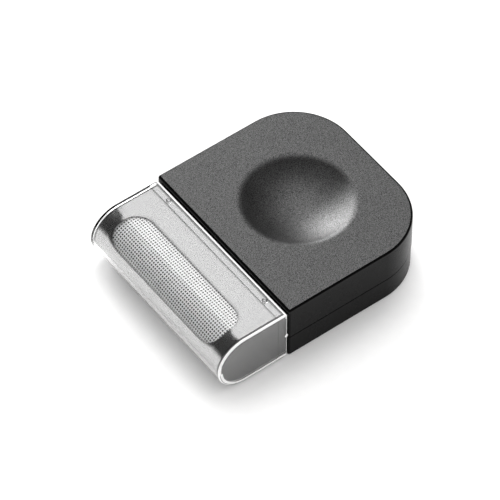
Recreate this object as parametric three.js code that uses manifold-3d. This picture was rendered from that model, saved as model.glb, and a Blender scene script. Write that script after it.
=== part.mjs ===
// Pocket fabric shaver, in millimetres. +Z is up, the shaving head points to -X, and Y runs across.
// The origin is the middle of the base: the object reaches as far to -X as to +X and stands on z = 0.
import * as THREE from "three";
import { mergeVertices } from "three/addons/utils/BufferGeometryUtils.js";
import Module from "manifold-3d";

const wasm = await Module();
wasm.setup();

// ---- casing ----
const HALF_LENGTH = 43.8;
const HALF_WIDTH = 35;
const HEIGHT = 22.3;
const FRONT = -16.6;
const REAR_RADIUS = 21.3;
const FRONT_RADIUS = 0.8;
const WALL = 1.8;
const EDGE_BREAK = 0.5;
const PARTING = 9.2;
const SEAM = 0.2;
const LOWER_INSET = 0.15;
const LIP = { height: 1.5, wall: 0.8 };
const GAP = 0.3;
const PLAN_CURVE = 5;
const MOUTH = { y: [-31.3, 32.2], z: [3, 19] };

// ---- thumb dish in the top ----
const DISH = { x: 13.6, radius: 18.7, depth: 4.8, steps: 6, sides: 36 };

// ---- shaving head: everything shares the drum's axis and a D-shaped profile round it ----
const AXIS_X = -33.5;
const AXIS_Z = 10.8;
const NOSE_CURVE = 10;
const CAP = { radius: 10.3, wall: 0.85, halfWidth: 34.8, rim: -17.1 };
const CAP_BAND = { front: -20.7, extra: 0.15 };
const CAP_PIP = { radius: 0.9, x: -19, y: 25.5 };
const COVER = { radius: 9.15, thickness: 0.35, halfWidth: 32.9 };
const HEAD_REAR = -17;
const WINDOW = { halfWidth: 28, rear: -28.3, lowAngle: 25, tilt: 57, corner: 6.4, reach: 12 };
const FOIL = { radius: 8.5, thickness: 0.25, halfWidth: 31, rear: -26.4, lowAngle: 12 };
const CHEEK = { face: 33.5, rim: 0.4, inner: 32.3 };
const LEDGE = { outer: 7.95, inner: 6.9, y: 28.6, rear: -25 };

// ---- cutter drum ----
const DRUM = { halfLength: 27, core: 5.4, twist: 30, steps: 6, blades: 4 };
const BLADE = { inner: 3.9, outer: 7.9, thickness: 0.5 };
const SLOT = { floor: 3.6, width: 1.2 };
const SHAFT = { radius: 1, near: -31 };
const RUNNING = 0.08;

// ---- cutter frame ----
const ARM_HALF_HEIGHT = 4.6;
const NEAR_ARM = [-30.2, -28.6];
const GEAR_PLATE = [28.4, 30];
const GEAR_PLATE_END = -1;
const GEAR_PLATE_HALF_HEIGHT = 6.5;
const FRAME_LIP = { x: [-19.6, -16.9], y: -31.9, z: [2.3, 19.3] };
const FRAME_NECK = { x: [-16.9, -14.5], y: -31, z: [3.3, 18.7] };
const FRAME_FLANGE = { x: [-14.5, -13.2], y: -32.9, z: [2.1, 20.2] };
const FRAME_HOLLOW = { y: [-29.8, 28.4], z: [4.5, 17.5] };
const CHAMBER_WALL = [-18.3, -17.1];
const FRAME_EAR = { z: [3.6, 5], halfWidth: 3.2, end: -7.4 };
const BUSH_RADIUS = 2;
const BUSH_SEAT = 2.1;

// ---- gear train, all on the drum axis's height ----
const MODULE = 0.6;
const TEETH = { drum: 18, idler: 14, pinion: 10 };
const PRESSURE = 25 * Math.PI / 180;
const ADDENDUM = 0.8;
const DEDENDUM = 1.05;
const BACKLASH = 0.1;
const FLANK_POINTS = 2;
const GEAR_FACE = [30.3, 32];
const GEAR_RIM = 0.7;
const GEAR_HUB = 0.8;
const GEAR_RECESS = 0.5;
const PIN_RADIUS = 0.75;
const IDLER_X = [
  AXIS_X + MODULE * (TEETH.drum + TEETH.idler) / 2,
  AXIS_X + MODULE * (TEETH.drum + 3 * TEETH.idler) / 2,
];

// ---- motor ----
const MOTOR_X = IDLER_X[1] + MODULE * (TEETH.idler + TEETH.pinion) / 2;
const MOTOR = { radius: 7, halfHeight: 5.5, y: [10.1, 28.1], boss: 3, bossEnd: 29.3 };
const MOTOR_CAP = [8, 9.8];
const MOTOR_SHAFT = { radius: 0.75, y: [6.6, 32] };
const TERMINAL = { y: [5.6, 7.7], halfWidth: 1.2, halfThickness: 0.2, offset: 3.6 };
const MOTOR_SCREW = { offset: 5, head: 1.25, headY: [28.9, 29.9], shank: 0.65, tip: 25.2 };
const MOTOR_SCREW_X = [MOTOR_X - MOTOR_SCREW.offset, MOTOR_X + MOTOR_SCREW.offset];

// ---- cells and contacts ----
const CELL = { radius: 5.25, length: 44.5, nub: 1.9, nubLength: 1, end: 23.5, z: 7.6 };
const CELL_X = [21, 31.9];
const CONTACT = { y: [23.8, 24.2], z: [3.4, 11.4], halfWidth: 4 };
const SPRING = { base: 3.4, tip: 2.2, wire: 0.3, turns: 3, stepsPerTurn: 10 };
const BAY = { x: [13, 38.6], wall: 1.2, y: 24.5, top: 10.4 };

// ---- battery door ----
const DOOR = { hinge: 15.4, z: 0.9, nose: 0.8, rear: 38.4, halfWidth: 23.6, thickness: 1.6, clear: 0.5 };
const TRUNNION = { radius: 0.45, length: 1.3, clear: 0.12 };
const DOOR_GRIP = { count: 4, pitch: 1.6, width: 0.7, depth: 0.4, halfLength: 6, inset: 3 };

// ---- slide switch in the rear wall ----
const SWITCH_Z = 16.2;
const SWITCH_TRAVEL = 4;
const POCKET = { halfWidth: 6.2, halfHeight: 2.9, floor: 43 };
const SWITCH_SLOT = { halfWidth: 3.9, halfHeight: 1.1 };
const SWITCH_BODY = { x: [37, 41.6], y: [-6, 6], z: [13.8, 18.8] };
const SWITCH_TRACK = { x: [40, 42], halfWidth: 3.4, halfHeight: 0.9 };
const SWITCH_LEG = { x: [38.4, 39.4], pitch: 3, halfWidth: 0.4, z: [13.2, 14] };
const KNOB = { halfWidth: 2.6, halfHeight: 2.2, stemX: 40.4, stemHalfWidth: 1.2, stemHalfHeight: 0.6 };
const KNOB_GROOVE = { count: 5, halfWidth: 0.2, depth: 0.4 };

// ---- screws: where they stand, and the heights of tip, neck and top ----
const CASE_SCREW_PLACES = [
  { x: 3.5, y: -29.4 },
  { x: 3.5, y: 29.4 },
  { x: 24.5, y: -29 },
  { x: 24.5, y: 29 },
];
const CASE_SCREW = { tip: 14, neck: 2.7, top: 1.2, head: 1.8, shank: 0.85 };
const BOSS = { radius: 2.6, bore: 1.15, depth: 16 };
const POST = { radius: 3.1, bore: 1.2, counterbore: 2.2, seat: 3 };
const FRAME_SCREW_PLACES = [
  { x: -10.4, y: -24 },
  { x: -10.4, y: 2.5 },
];
const FRAME_SCREW = { tip: 2.4, neck: 5.2, top: 6.3, head: 1.7, shank: 0.75 };
const FRAME_POST = { radius: 2.2, bore: 1 };
const CROSS = { reach: 0.6, halfWidth: 0.2 };

// ---- wires: their routes, chosen by hand, from terminal to terminal ----
const WIRE = { radius: 0.5, sides: 6, steps: 18 };
const BLACK_ROUTE = [
  [21, -23.8, 12.2], [19, -22, 13.8], [10, -18, 13.9], [2, -8, 13], [-3, 0, 11], [-8, 4, 7.9], [-8.3, 6, 8],
];
const RED_ROUTE = [
  [31.9, -23.8, 12.2], [32, -21, 14.2], [34, -14, 14.6], [36.5, -6, 13.4], [38.9, -3, 12.7],
];
const WHITE_ROUTE = [
  [38.9, 0, 12.6], [35, 2, 13.9], [26, 8, 14], [12, 14, 14],
  [2, 10, 14.6], [-5, 5, 14.9], [-8.3, 5.2, 15.3],
];

// Spans that reach past the whole object, for tools that cut right through.
const ACROSS = [-60, 60];
const BEYOND = 60;

const BLACK = new THREE.MeshStandardMaterial({ color: 0x2b2b2c, roughness: 0.55, metalness: 0 });
const INNER_BLACK = new THREE.MeshStandardMaterial({ color: 0x161617, roughness: 0.4, metalness: 0 });
const CHEEK_GREY = new THREE.MeshStandardMaterial({ color: 0x333335, roughness: 0.45, metalness: 0 });
const CLEAR = new THREE.MeshStandardMaterial({
  color: 0xf2f4f5, roughness: 0.06, metalness: 0, transparent: true, opacity: 0.3,
});
const POLISHED = new THREE.MeshStandardMaterial({ color: 0xd8d9da, roughness: 0.12, metalness: 1 });
const STEEL = new THREE.MeshStandardMaterial({ color: 0xb4b6b8, roughness: 0.3, metalness: 1 });
const BRASS = new THREE.MeshStandardMaterial({ color: 0xb08d4c, roughness: 0.35, metalness: 1 });
const WHITE = new THREE.MeshStandardMaterial({ color: 0xe6e4de, roughness: 0.45, metalness: 0 });
const CELL_WRAP = new THREE.MeshStandardMaterial({ color: 0x2f4a5e, roughness: 0.4, metalness: 0.2 });
const RED = new THREE.MeshStandardMaterial({ color: 0xa8201c, roughness: 0.5, metalness: 0 });

const shaver = new THREE.Group();

// ---- helpers ----

function solid(geometry) {
  const bare = geometry.clone();
  bare.deleteAttribute("normal");
  bare.deleteAttribute("uv");
  const merged = mergeVertices(bare, 1e-4);
  const vertProperties = new Float32Array(merged.attributes.position.array);
  const triVerts = new Uint32Array(merged.index.array);
  return new wasm.Manifold(new wasm.Mesh({ numProp: 3, vertProperties, triVerts }));
}

function toGeometry(manifold) {
  const mesh = manifold.getMesh();
  const geometry = new THREE.BufferGeometry();
  geometry.setAttribute("position", new THREE.BufferAttribute(new Float32Array(mesh.vertProperties), 3));
  geometry.setIndex(new THREE.BufferAttribute(new Uint32Array(mesh.triVerts), 1));
  geometry.computeVertexNormals();
  return geometry;
}

function join(first, ...others) {
  return others.reduce((whole, other) => whole.add(other), first);
}

function cut(first, ...others) {
  return others.reduce((whole, other) => whole.subtract(other), first);
}

function add(name, manifold, material) {
  const mesh = new THREE.Mesh(toGeometry(manifold), material);
  mesh.name = name;
  shaver.add(mesh);
}

// The span that reaches the same distance either side of a middle.
function about(middle, half) {
  return [middle - half, middle + half];
}

function box(x, y, z) {
  const geometry = new THREE.BoxGeometry(x[1] - x[0], y[1] - y[0], z[1] - z[0]);
  geometry.translate((x[0] + x[1]) / 2, (y[0] + y[1]) / 2, (z[0] + z[1]) / 2);
  return solid(geometry);
}

function cylinderY(x, z, radius, y, sides = 24) {
  const geometry = new THREE.CylinderGeometry(radius, radius, y[1] - y[0], sides);
  geometry.translate(x, (y[0] + y[1]) / 2, z);
  return solid(geometry);
}

function cylinderZ(place, radius, z, sides = 20) {
  const geometry = new THREE.CylinderGeometry(radius, radius, z[1] - z[0], sides);
  geometry.rotateX(Math.PI / 2);
  geometry.translate(place.x, place.y, (z[0] + z[1]) / 2);
  return solid(geometry);
}

// A plan shape, drawn in x and y, raised from z[0] to z[1].
function prismZ(shape, z) {
  const options = { depth: z[1] - z[0], bevelEnabled: false, curveSegments: PLAN_CURVE };
  const geometry = new THREE.ExtrudeGeometry(shape, options);
  geometry.translate(0, 0, z[0]);
  return solid(geometry);
}

// A side-view shape, drawn in x and z, as a geometry drawn out from y[0] to y[1].
function drawnAcross(shape, y, detail) {
  const options = { depth: y[1] - y[0], bevelEnabled: false, ...detail };
  const geometry = new THREE.ExtrudeGeometry(shape, options);
  geometry.rotateX(Math.PI / 2);
  geometry.translate(0, y[1], 0);
  return geometry;
}

// The casing's plan outline, moved in by inset: square front, large round rear corners.
function planShape(inset) {
  const front = FRONT + inset;
  const rear = HALF_LENGTH - inset;
  const side = HALF_WIDTH - inset;
  const round = REAR_RADIUS - inset;
  const small = Math.max(FRONT_RADIUS - inset, 0.1);
  const shape = new THREE.Shape();
  shape.moveTo(front + small, -side);
  shape.lineTo(rear - round, -side);
  shape.absarc(rear - round, -side + round, round, -Math.PI / 2, 0, false);
  shape.absarc(rear - round, side - round, round, 0, Math.PI / 2, false);
  shape.lineTo(front + small, side);
  shape.absarc(front + small, side - small, small, Math.PI / 2, Math.PI, false);
  shape.absarc(front + small, -side + small, small, Math.PI, Math.PI * 1.5, false);
  return shape;
}

// A block with the casing's outline and a small break on its top and bottom edges.
function casingBlock(inset) {
  const geometry = new THREE.ExtrudeGeometry(planShape(inset), {
    depth: HEIGHT - 2 * EDGE_BREAK,
    bevelThickness: EDGE_BREAK,
    bevelSize: EDGE_BREAK,
    bevelOffset: -EDGE_BREAK,
    bevelSegments: 1,
    curveSegments: PLAN_CURVE,
  });
  geometry.translate(0, 0, EDGE_BREAK);
  return solid(geometry);
}

// The dish's hollow: a spherical bowl, grown outwards by extra.
function dishBowl(extra) {
  const radius = DISH.radius + extra;
  const depth = DISH.depth + extra;
  const sphere = (radius * radius + depth * depth) / (2 * depth);
  const profile = [];
  for (let i = 0; i <= DISH.steps; i++) {
    const r = radius * i / DISH.steps;
    profile.push(new THREE.Vector2(r, HEIGHT - depth + sphere - Math.sqrt(sphere * sphere - r * r)));
  }
  profile.push(new THREE.Vector2(radius, HEIGHT + 1));
  profile.push(new THREE.Vector2(0, HEIGHT + 1));
  const geometry = new THREE.LatheGeometry(profile, DISH.sides);
  geometry.rotateX(Math.PI / 2);
  geometry.translate(DISH.x, 0, 0);
  return solid(geometry);
}

// The head's profile, flat above and below with a half-round nose, drawn out across y.
function nose(radius, rear, y) {
  const shape = new THREE.Shape();
  shape.moveTo(rear, AXIS_Z - radius);
  shape.lineTo(rear, AXIS_Z + radius);
  shape.lineTo(AXIS_X, AXIS_Z + radius);
  shape.absarc(AXIS_X, AXIS_Z, radius, Math.PI / 2, Math.PI * 1.5, false);
  return solid(drawnAcross(shape, y, { curveSegments: NOSE_CURVE }));
}

// ---- casing ----

function mouth() {
  return box([FRONT - 1, FRONT + WALL + 0.1], MOUTH.y, MOUTH.z);
}

function screwBoss(place) {
  return cut(
    cylinderZ(place, BOSS.radius, [PARTING + GAP, HEIGHT - WALL + 0.2]),
    cylinderZ(place, BOSS.bore, [PARTING, BOSS.depth]),
  );
}

function screwHole(place) {
  return join(
    cylinderZ(place, POST.counterbore, [-1, POST.seat]),
    cylinderZ(place, POST.bore, [POST.seat - 1, PARTING + 1]),
  );
}

function makeUpperShell() {
  const half = box(ACROSS, ACROSS, [PARTING, BEYOND]);
  const cavity = prismZ(planShape(WALL), [PARTING - 1, HEIGHT - WALL]).subtract(dishBowl(WALL));
  const pocket = box(
    [POCKET.floor, BEYOND],
    about(0, POCKET.halfWidth),
    about(SWITCH_Z, POCKET.halfHeight),
  );
  const slot = box(
    [HALF_LENGTH - WALL - 1, BEYOND],
    about(0, SWITCH_SLOT.halfWidth),
    about(SWITCH_Z, SWITCH_SLOT.halfHeight),
  );
  const hollow = cut(casingBlock(0).intersect(half), cavity, dishBowl(0), mouth(), pocket, slot);
  return join(hollow, ...CASE_SCREW_PLACES.map(screwBoss));
}

// The walls round the cells: two ends and a front, kept inside the casing's round corners.
function batteryBay() {
  const outer = box(BAY.x, about(0, BAY.y + BAY.wall), [1, BAY.top]);
  const inner = box([BAY.x[0] + BAY.wall, BEYOND], about(0, BAY.y), [0, BAY.top + 1]);
  const room = prismZ(planShape(WALL + GAP + 0.1), [0.5, BAY.top + 1]);
  return cut(outer.intersect(room), inner);
}

function doorOpening() {
  const hole = box(
    [DOOR.hinge - DOOR.nose - GAP, DOOR.rear + DOOR.clear],
    about(0, DOOR.halfWidth + GAP),
    [-1, WALL + 1],
  );
  const reach = DOOR.halfWidth + TRUNNION.length + GAP;
  return join(hole, cylinderY(DOOR.hinge, DOOR.z, TRUNNION.radius + TRUNNION.clear, about(0, reach), 12));
}

function makeLowerShell() {
  const half = box(ACROSS, ACROSS, [-1, PARTING - SEAM]);
  const lipInset = WALL + GAP;
  const lip = prismZ(planShape(lipInset), [WALL, PARTING + LIP.height]);
  const room = prismZ(planShape(lipInset + LIP.wall), [WALL, BEYOND]);
  const tray = cut(join(casingBlock(LOWER_INSET).intersect(half), lip), room);
  const posts = CASE_SCREW_PLACES.map((place) => cylinderZ(place, POST.radius, [0.6, PARTING]));
  const framePosts = FRAME_SCREW_PLACES.map((place) => (
    cylinderZ(place, FRAME_POST.radius, [1, FRAME_EAR.z[0] - GAP])
  ));
  const frameHoles = FRAME_SCREW_PLACES.map((place) => (
    cylinderZ(place, FRAME_POST.bore, [FRAME_SCREW.tip - 0.4, BEYOND], 12)
  ));
  const frameRoom = box([FRONT + WALL - 0.1, FRAME_FLANGE.x[1] + GAP], ACROSS, [WALL, BEYOND]);
  return cut(
    join(tray, ...posts, ...framePosts, batteryBay()),
    frameRoom.intersect(prismZ(planShape(WALL), [0, HEIGHT])),
    mouth(),
    doorOpening(),
    ...CASE_SCREW_PLACES.map(screwHole),
    ...frameHoles,
  );
}

// A plate with a round hinge edge, a trunnion at each end of it, and finger grooves at the other edge.
function makeBatteryDoor() {
  const low = DOOR.z - DOOR.nose;
  const plate = box([DOOR.hinge, DOOR.rear], about(0, DOOR.halfWidth), [low, low + DOOR.thickness]);
  const barrel = cylinderY(DOOR.hinge, DOOR.z, DOOR.nose, about(0, DOOR.halfWidth), 16);
  const reach = DOOR.halfWidth + TRUNNION.length;
  const trunnions = cylinderY(DOOR.hinge, DOOR.z, TRUNNION.radius, about(0, reach), 12);
  const grips = [];
  for (let i = 0; i < DOOR_GRIP.count; i++) {
    const x = DOOR.rear - DOOR_GRIP.inset - i * DOOR_GRIP.pitch;
    const groove = [x, x + DOOR_GRIP.width];
    grips.push(box(groove, about(0, DOOR_GRIP.halfLength), [low - 1, low + DOOR_GRIP.depth]));
  }
  return cut(join(plate, barrel, trunnions), ...grips);
}

// An upright screw with a cross in its head, head up or head down as its heights say.
function makeScrew(place, screw) {
  const headUp = screw.top > screw.neck;
  const headSpan = headUp ? [screw.neck, screw.top] : [screw.top, screw.neck];
  const shankSpan = headUp ? [screw.tip, screw.neck] : [screw.neck, screw.tip];
  const middle = (screw.neck + screw.top) / 2;
  const crossSpan = headUp ? [middle, screw.top + 1] : [screw.top - 1, middle];
  const reach = screw.head * CROSS.reach;
  return cut(
    join(cylinderZ(place, screw.head, headSpan, 16), cylinderZ(place, screw.shank, shankSpan, 10)),
    box(about(place.x, reach), about(place.y, CROSS.halfWidth), crossSpan),
    box(about(place.x, CROSS.halfWidth), about(place.y, reach), crossSpan),
  );
}

// ---- cutter frame, bushes and pins ----

function frameRing(ring) {
  return box(ring.x, [ring.y, GEAR_PLATE[1]], ring.z);
}

function drumArm(y) {
  const bar = box([AXIS_X, CHAMBER_WALL[1]], y, about(AXIS_Z, ARM_HALF_HEIGHT));
  return join(bar, cylinderY(AXIS_X, AXIS_Z, ARM_HALF_HEIGHT, y, 32));
}

function earOf(place) {
  return box([FRAME_FLANGE.x[0], FRAME_EAR.end], about(place.y, FRAME_EAR.halfWidth), FRAME_EAR.z);
}

function motorScrewHole(x) {
  return join(
    cylinderY(x, AXIS_Z, MOTOR_SCREW.shank + GAP, [GEAR_PLATE[0] - 1, BEYOND], 12),
    cylinderY(x, AXIS_Z, MOTOR_SCREW.head + GAP, [MOTOR_SCREW.headY[0] - 0.1, BEYOND], 16),
  );
}

function makeCutterFrame() {
  const rings = join(frameRing(FRAME_LIP), frameRing(FRAME_NECK), frameRing(FRAME_FLANGE));
  const tunnel = box([FRAME_LIP.x[0] - 1, FRAME_FLANGE.x[1] + 1], FRAME_HOLLOW.y, FRAME_HOLLOW.z);
  const wall = box(CHAMBER_WALL, [FRAME_LIP.y + 1, GEAR_PLATE[1]], FRAME_LIP.z);
  const plate = box([FRAME_LIP.x[0], GEAR_PLATE_END], GEAR_PLATE, about(AXIS_Z, GEAR_PLATE_HALF_HEIGHT));
  const frame = join(
    cut(rings, tunnel),
    wall,
    plate,
    drumArm(NEAR_ARM),
    drumArm(GEAR_PLATE),
    ...FRAME_SCREW_PLACES.map(earOf),
  );
  return cut(
    frame,
    cylinderY(AXIS_X, AXIS_Z, BUSH_SEAT, ACROSS, 24),
    cylinderY(MOTOR_X, AXIS_Z, MOTOR.boss + GAP, [GEAR_PLATE[0] - 1, BEYOND], 24),
    ...IDLER_X.map((x) => cylinderY(x, AXIS_Z, PIN_RADIUS + RUNNING, [GEAR_PLATE[0] - 1, BEYOND], 16)),
    ...MOTOR_SCREW_X.map(motorScrewHole),
    ...FRAME_SCREW_PLACES.map((place) => {
      return cylinderZ(place, FRAME_SCREW.shank + GAP, [0, FRAME_SCREW.top], 12);
    }),
  );
}

function makeBush(y) {
  return cut(
    cylinderY(AXIS_X, AXIS_Z, BUSH_RADIUS, y, 20),
    cylinderY(AXIS_X, AXIS_Z, SHAFT.radius + RUNNING, ACROSS, 16),
  );
}

// ---- gears ----

function involute(angle) {
  return Math.tan(angle) - angle;
}

// Half a tooth's angular width at a radius, for an involute tooth thinned by the backlash.
function toothHalfAngle(teeth, radius) {
  const pitch = MODULE * teeth / 2;
  const base = pitch * Math.cos(PRESSURE);
  const here = radius <= base ? 0 : Math.acos(base / radius);
  return (Math.PI * MODULE / 2 - BACKLASH) / (2 * pitch) + involute(PRESSURE) - involute(here);
}

function gearShape(teeth, phase) {
  const pitch = MODULE * teeth / 2;
  const root = pitch - DEDENDUM * MODULE;
  const tip = pitch + ADDENDUM * MODULE;
  const start = Math.max(pitch * Math.cos(PRESSURE), root);
  const radii = [root];
  for (let i = 0; i <= FLANK_POINTS; i++) {
    radii.push(start + (tip - start) * i / FLANK_POINTS);
  }
  const points = [];
  for (let tooth = 0; tooth < teeth; tooth++) {
    const middle = phase + tooth * 2 * Math.PI / teeth;
    const rising = radii.map((r) => [r, middle - toothHalfAngle(teeth, r)]);
    const falling = radii.map((r) => [r, middle + toothHalfAngle(teeth, r)]).reverse();
    for (const [r, angle] of [...rising, ...falling]) {
      points.push(new THREE.Vector2(r * Math.cos(angle), r * Math.sin(angle)));
    }
  }
  return new THREE.Shape(points);
}

function makeGear(teeth, x, phase, bore) {
  const geometry = drawnAcross(gearShape(teeth, phase), GEAR_FACE);
  geometry.translate(x, 0, AXIS_Z);
  return cut(solid(geometry), cylinderY(x, AXIS_Z, bore, ACROSS, 16));
}

// A gear whose outer face is sunk between its rim and its hub.
function makeWebbedGear(teeth, x, phase, bore) {
  const rim = MODULE * (teeth / 2 - DEDENDUM) - GEAR_RIM;
  const sunk = cut(
    cylinderY(x, AXIS_Z, rim, [GEAR_FACE[1] - GEAR_RECESS, BEYOND], 24),
    cylinderY(x, AXIS_Z, bore + GEAR_HUB, [0, BEYOND + 1], 16),
  );
  return cut(makeGear(teeth, x, phase, bore), sunk);
}

// The phase that puts one of a gear's gaps where the gear before it has a tooth.
function nextPhase(phase, teeth, teethNext) {
  const fraction = -phase * teeth / (2 * Math.PI);
  return Math.PI + (fraction + 0.5) * 2 * Math.PI / teethNext;
}

// ---- cutter drum ----

// Turns each vertex about the drum's axis in proportion to its place along the drum, then sets it there.
function twistIntoPlace(geometry) {
  const position = geometry.attributes.position;
  for (let i = 0; i < position.count; i++) {
    const turn = THREE.MathUtils.degToRad(DRUM.twist) * position.getY(i) / (2 * DRUM.halfLength);
    const x = position.getX(i);
    const z = position.getZ(i);
    position.setX(i, x * Math.cos(turn) - z * Math.sin(turn));
    position.setZ(i, x * Math.sin(turn) + z * Math.cos(turn));
  }
  geometry.translate(AXIS_X, 0, AXIS_Z);
  return geometry;
}

// A round core with one slot for each blade.
function makeDrumCore() {
  const shape = new THREE.Shape();
  const half = SLOT.width / 2;
  const edge = Math.asin(half / DRUM.core);
  const pitch = 2 * Math.PI / DRUM.blades;
  for (let i = 0; i < DRUM.blades; i++) {
    const middle = i * pitch;
    for (const side of [-half, half]) {
      const x = Math.cos(middle) * SLOT.floor - Math.sin(middle) * side;
      const y = Math.sin(middle) * SLOT.floor + Math.cos(middle) * side;
      if (i === 0 && side < 0) shape.moveTo(x, y);
      else shape.lineTo(x, y);
    }
    shape.absarc(0, 0, DRUM.core, middle + edge, middle + pitch - edge, false);
  }
  const geometry = drawnAcross(shape, about(0, DRUM.halfLength), { steps: DRUM.steps, curveSegments: 3 });
  const bore = cylinderY(AXIS_X, AXIS_Z, SHAFT.radius + RUNNING, ACROSS, 16);
  return cut(solid(twistIntoPlace(geometry)), bore);
}

function makeBlade(index) {
  const reach = BLADE.outer - BLADE.inner;
  const geometry = new THREE.BoxGeometry(reach, 2 * DRUM.halfLength, BLADE.thickness, 1, DRUM.steps, 1);
  geometry.translate(BLADE.inner + reach / 2, 0, 0);
  geometry.rotateY(-index * 2 * Math.PI / DRUM.blades);
  return solid(twistIntoPlace(geometry));
}

// ---- shaving head ----

// The prism that cuts the head's window: a long rounded slot, seen along a line tilted up from the nose.
function windowCutter() {
  const tilt = THREE.MathUtils.degToRad(WINDOW.tilt);
  const low = THREE.MathUtils.degToRad(WINDOW.lowAngle);
  const across = (x, z) => x * Math.sin(tilt) + z * Math.cos(tilt);
  const upper = across(WINDOW.rear - AXIS_X, COVER.radius) - WINDOW.corner;
  const lower = across(-COVER.radius * Math.cos(low), COVER.radius * Math.sin(low)) + WINDOW.corner;
  const side = WINDOW.halfWidth - WINDOW.corner;
  const shape = new THREE.Shape();
  shape.absarc(upper, -side, WINDOW.corner, -Math.PI / 2, 0, false);
  shape.absarc(upper, side, WINDOW.corner, 0, Math.PI / 2, false);
  shape.absarc(lower, side, WINDOW.corner, Math.PI / 2, Math.PI, false);
  shape.absarc(lower, -side, WINDOW.corner, Math.PI, Math.PI * 1.5, false);
  const options = { depth: WINDOW.reach, bevelEnabled: false, curveSegments: 4 };
  const geometry = new THREE.ExtrudeGeometry(shape, options);
  geometry.translate(0, 0, 1);
  geometry.rotateY(tilt - Math.PI / 2);
  geometry.translate(AXIS_X, 0, AXIS_Z);
  return solid(geometry);
}

function makeCover() {
  const outer = nose(COVER.radius, HEAD_REAR, about(0, COVER.halfWidth));
  return cut(outer, nose(COVER.radius - COVER.thickness, 0, ACROSS), windowCutter());
}

// A curved sheet behind the window, which ends a little below it on the nose.
function makeFoil() {
  const sheet = cut(
    nose(FOIL.radius, FOIL.rear, about(0, FOIL.halfWidth)),
    nose(FOIL.radius - FOIL.thickness, 0, ACROSS),
  );
  const low = THREE.MathUtils.degToRad(FOIL.lowAngle);
  const below = new THREE.Shape();
  below.moveTo(AXIS_X, AXIS_Z);
  below.lineTo(AXIS_X - BEYOND * Math.cos(low), AXIS_Z + BEYOND * Math.sin(low));
  below.lineTo(AXIS_X - BEYOND, AXIS_Z - BEYOND);
  below.lineTo(AXIS_X + BEYOND, AXIS_Z - BEYOND);
  below.lineTo(AXIS_X + BEYOND, AXIS_Z);
  return cut(sheet, solid(drawnAcross(below, ACROSS)));
}

// An end cheek: a rim that borders the sheet, a plug inside the sheet, and a ledge under the foil.
function makeCheek(side) {
  const span = (inner, outer) => (side < 0 ? [-outer, -inner] : [inner, outer]);
  const rimInner = CHEEK.face - CHEEK.rim;
  const rim = nose(COVER.radius, HEAD_REAR, span(rimInner, CHEEK.face));
  const plug = nose(COVER.radius - COVER.thickness - GAP, HEAD_REAR, span(CHEEK.inner, rimInner));
  const ledge = cut(
    nose(LEDGE.outer, LEDGE.rear, span(LEDGE.y, CHEEK.inner + GAP)),
    nose(LEDGE.inner, 0, span(LEDGE.y - 1, CHEEK.inner)),
  );
  return join(rim, plug, ledge);
}

// The clear cap, with a thinner band inside its rim that small pips interrupt.
function makeCap() {
  const inner = CAP.radius - CAP.wall;
  const innerHalf = CAP.halfWidth - CAP.wall;
  const outside = nose(CAP.radius, CAP.rim, about(0, CAP.halfWidth));
  const shell = cut(outside, nose(inner, 0, about(0, innerHalf)));
  const band = box(
    [CAP_BAND.front, 0],
    about(0, innerHalf + CAP_BAND.extra),
    about(AXIS_Z, inner + CAP_BAND.extra),
  );
  const pips = [];
  for (const y of [-CAP_PIP.y, CAP_PIP.y]) {
    for (const z of [[-1, AXIS_Z - inner], [AXIS_Z + inner, BEYOND]]) {
      pips.push(cylinderZ({ x: CAP_PIP.x, y }, CAP_PIP.radius, z, 12));
    }
  }
  return cut(shell, cut(band, ...pips));
}

// ---- cells, contacts and wires ----

// A cell with its button end towards +Y (facing 1) or -Y (facing -1).
function makeCell(x, facing) {
  const button = facing * CELL.end;
  const shoulder = button - facing * CELL.nubLength;
  const base = button - facing * CELL.length;
  const canSpan = [Math.min(shoulder, base), Math.max(shoulder, base)];
  const nubSpan = [Math.min(button, shoulder - facing), Math.max(button, shoulder - facing)];
  return join(
    cylinderY(x, CELL.z, CELL.radius, canSpan, 28),
    cylinderY(x, CELL.z, CELL.nub, nubSpan, 16),
  );
}

class ConeHelix extends THREE.Curve {
  constructor(x, from, to) {
    super();
    this.x = x;
    this.from = from;
    this.to = to;
  }

  getPoint(t, target = new THREE.Vector3()) {
    const angle = t * SPRING.turns * 2 * Math.PI;
    const radius = SPRING.base + (SPRING.tip - SPRING.base) * t;
    const y = this.from + (this.to - this.from) * t;
    return target.set(this.x + radius * Math.cos(angle), y, CELL.z + radius * Math.sin(angle));
  }
}

function sweep(path, radius, sides, steps) {
  const section = [];
  for (let i = 0; i < sides; i++) {
    const angle = i * 2 * Math.PI / sides;
    section.push(new THREE.Vector2(radius * Math.cos(angle), radius * Math.sin(angle)));
  }
  const options = { steps, extrudePath: path, bevelEnabled: false };
  return solid(new THREE.ExtrudeGeometry(new THREE.Shape(section), options));
}

function makeSpring(x, side) {
  const wall = side * (CONTACT.y[0] - GAP - SPRING.wire);
  const cellEnd = side * (CELL.length - CELL.end + GAP + SPRING.wire);
  return sweep(new ConeHelix(x, wall, cellEnd), SPRING.wire, 5, SPRING.turns * SPRING.stepsPerTurn);
}

function makeContact(fromX, toX, side) {
  const y = side < 0 ? [-CONTACT.y[1], -CONTACT.y[0]] : CONTACT.y;
  return box([fromX - CONTACT.halfWidth, toX + CONTACT.halfWidth], y, CONTACT.z);
}

function makeWire(route) {
  const path = new THREE.CatmullRomCurve3(route.map((point) => new THREE.Vector3(...point)));
  return sweep(path, WIRE.radius, WIRE.sides, WIRE.steps);
}

// ---- switch ----

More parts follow.
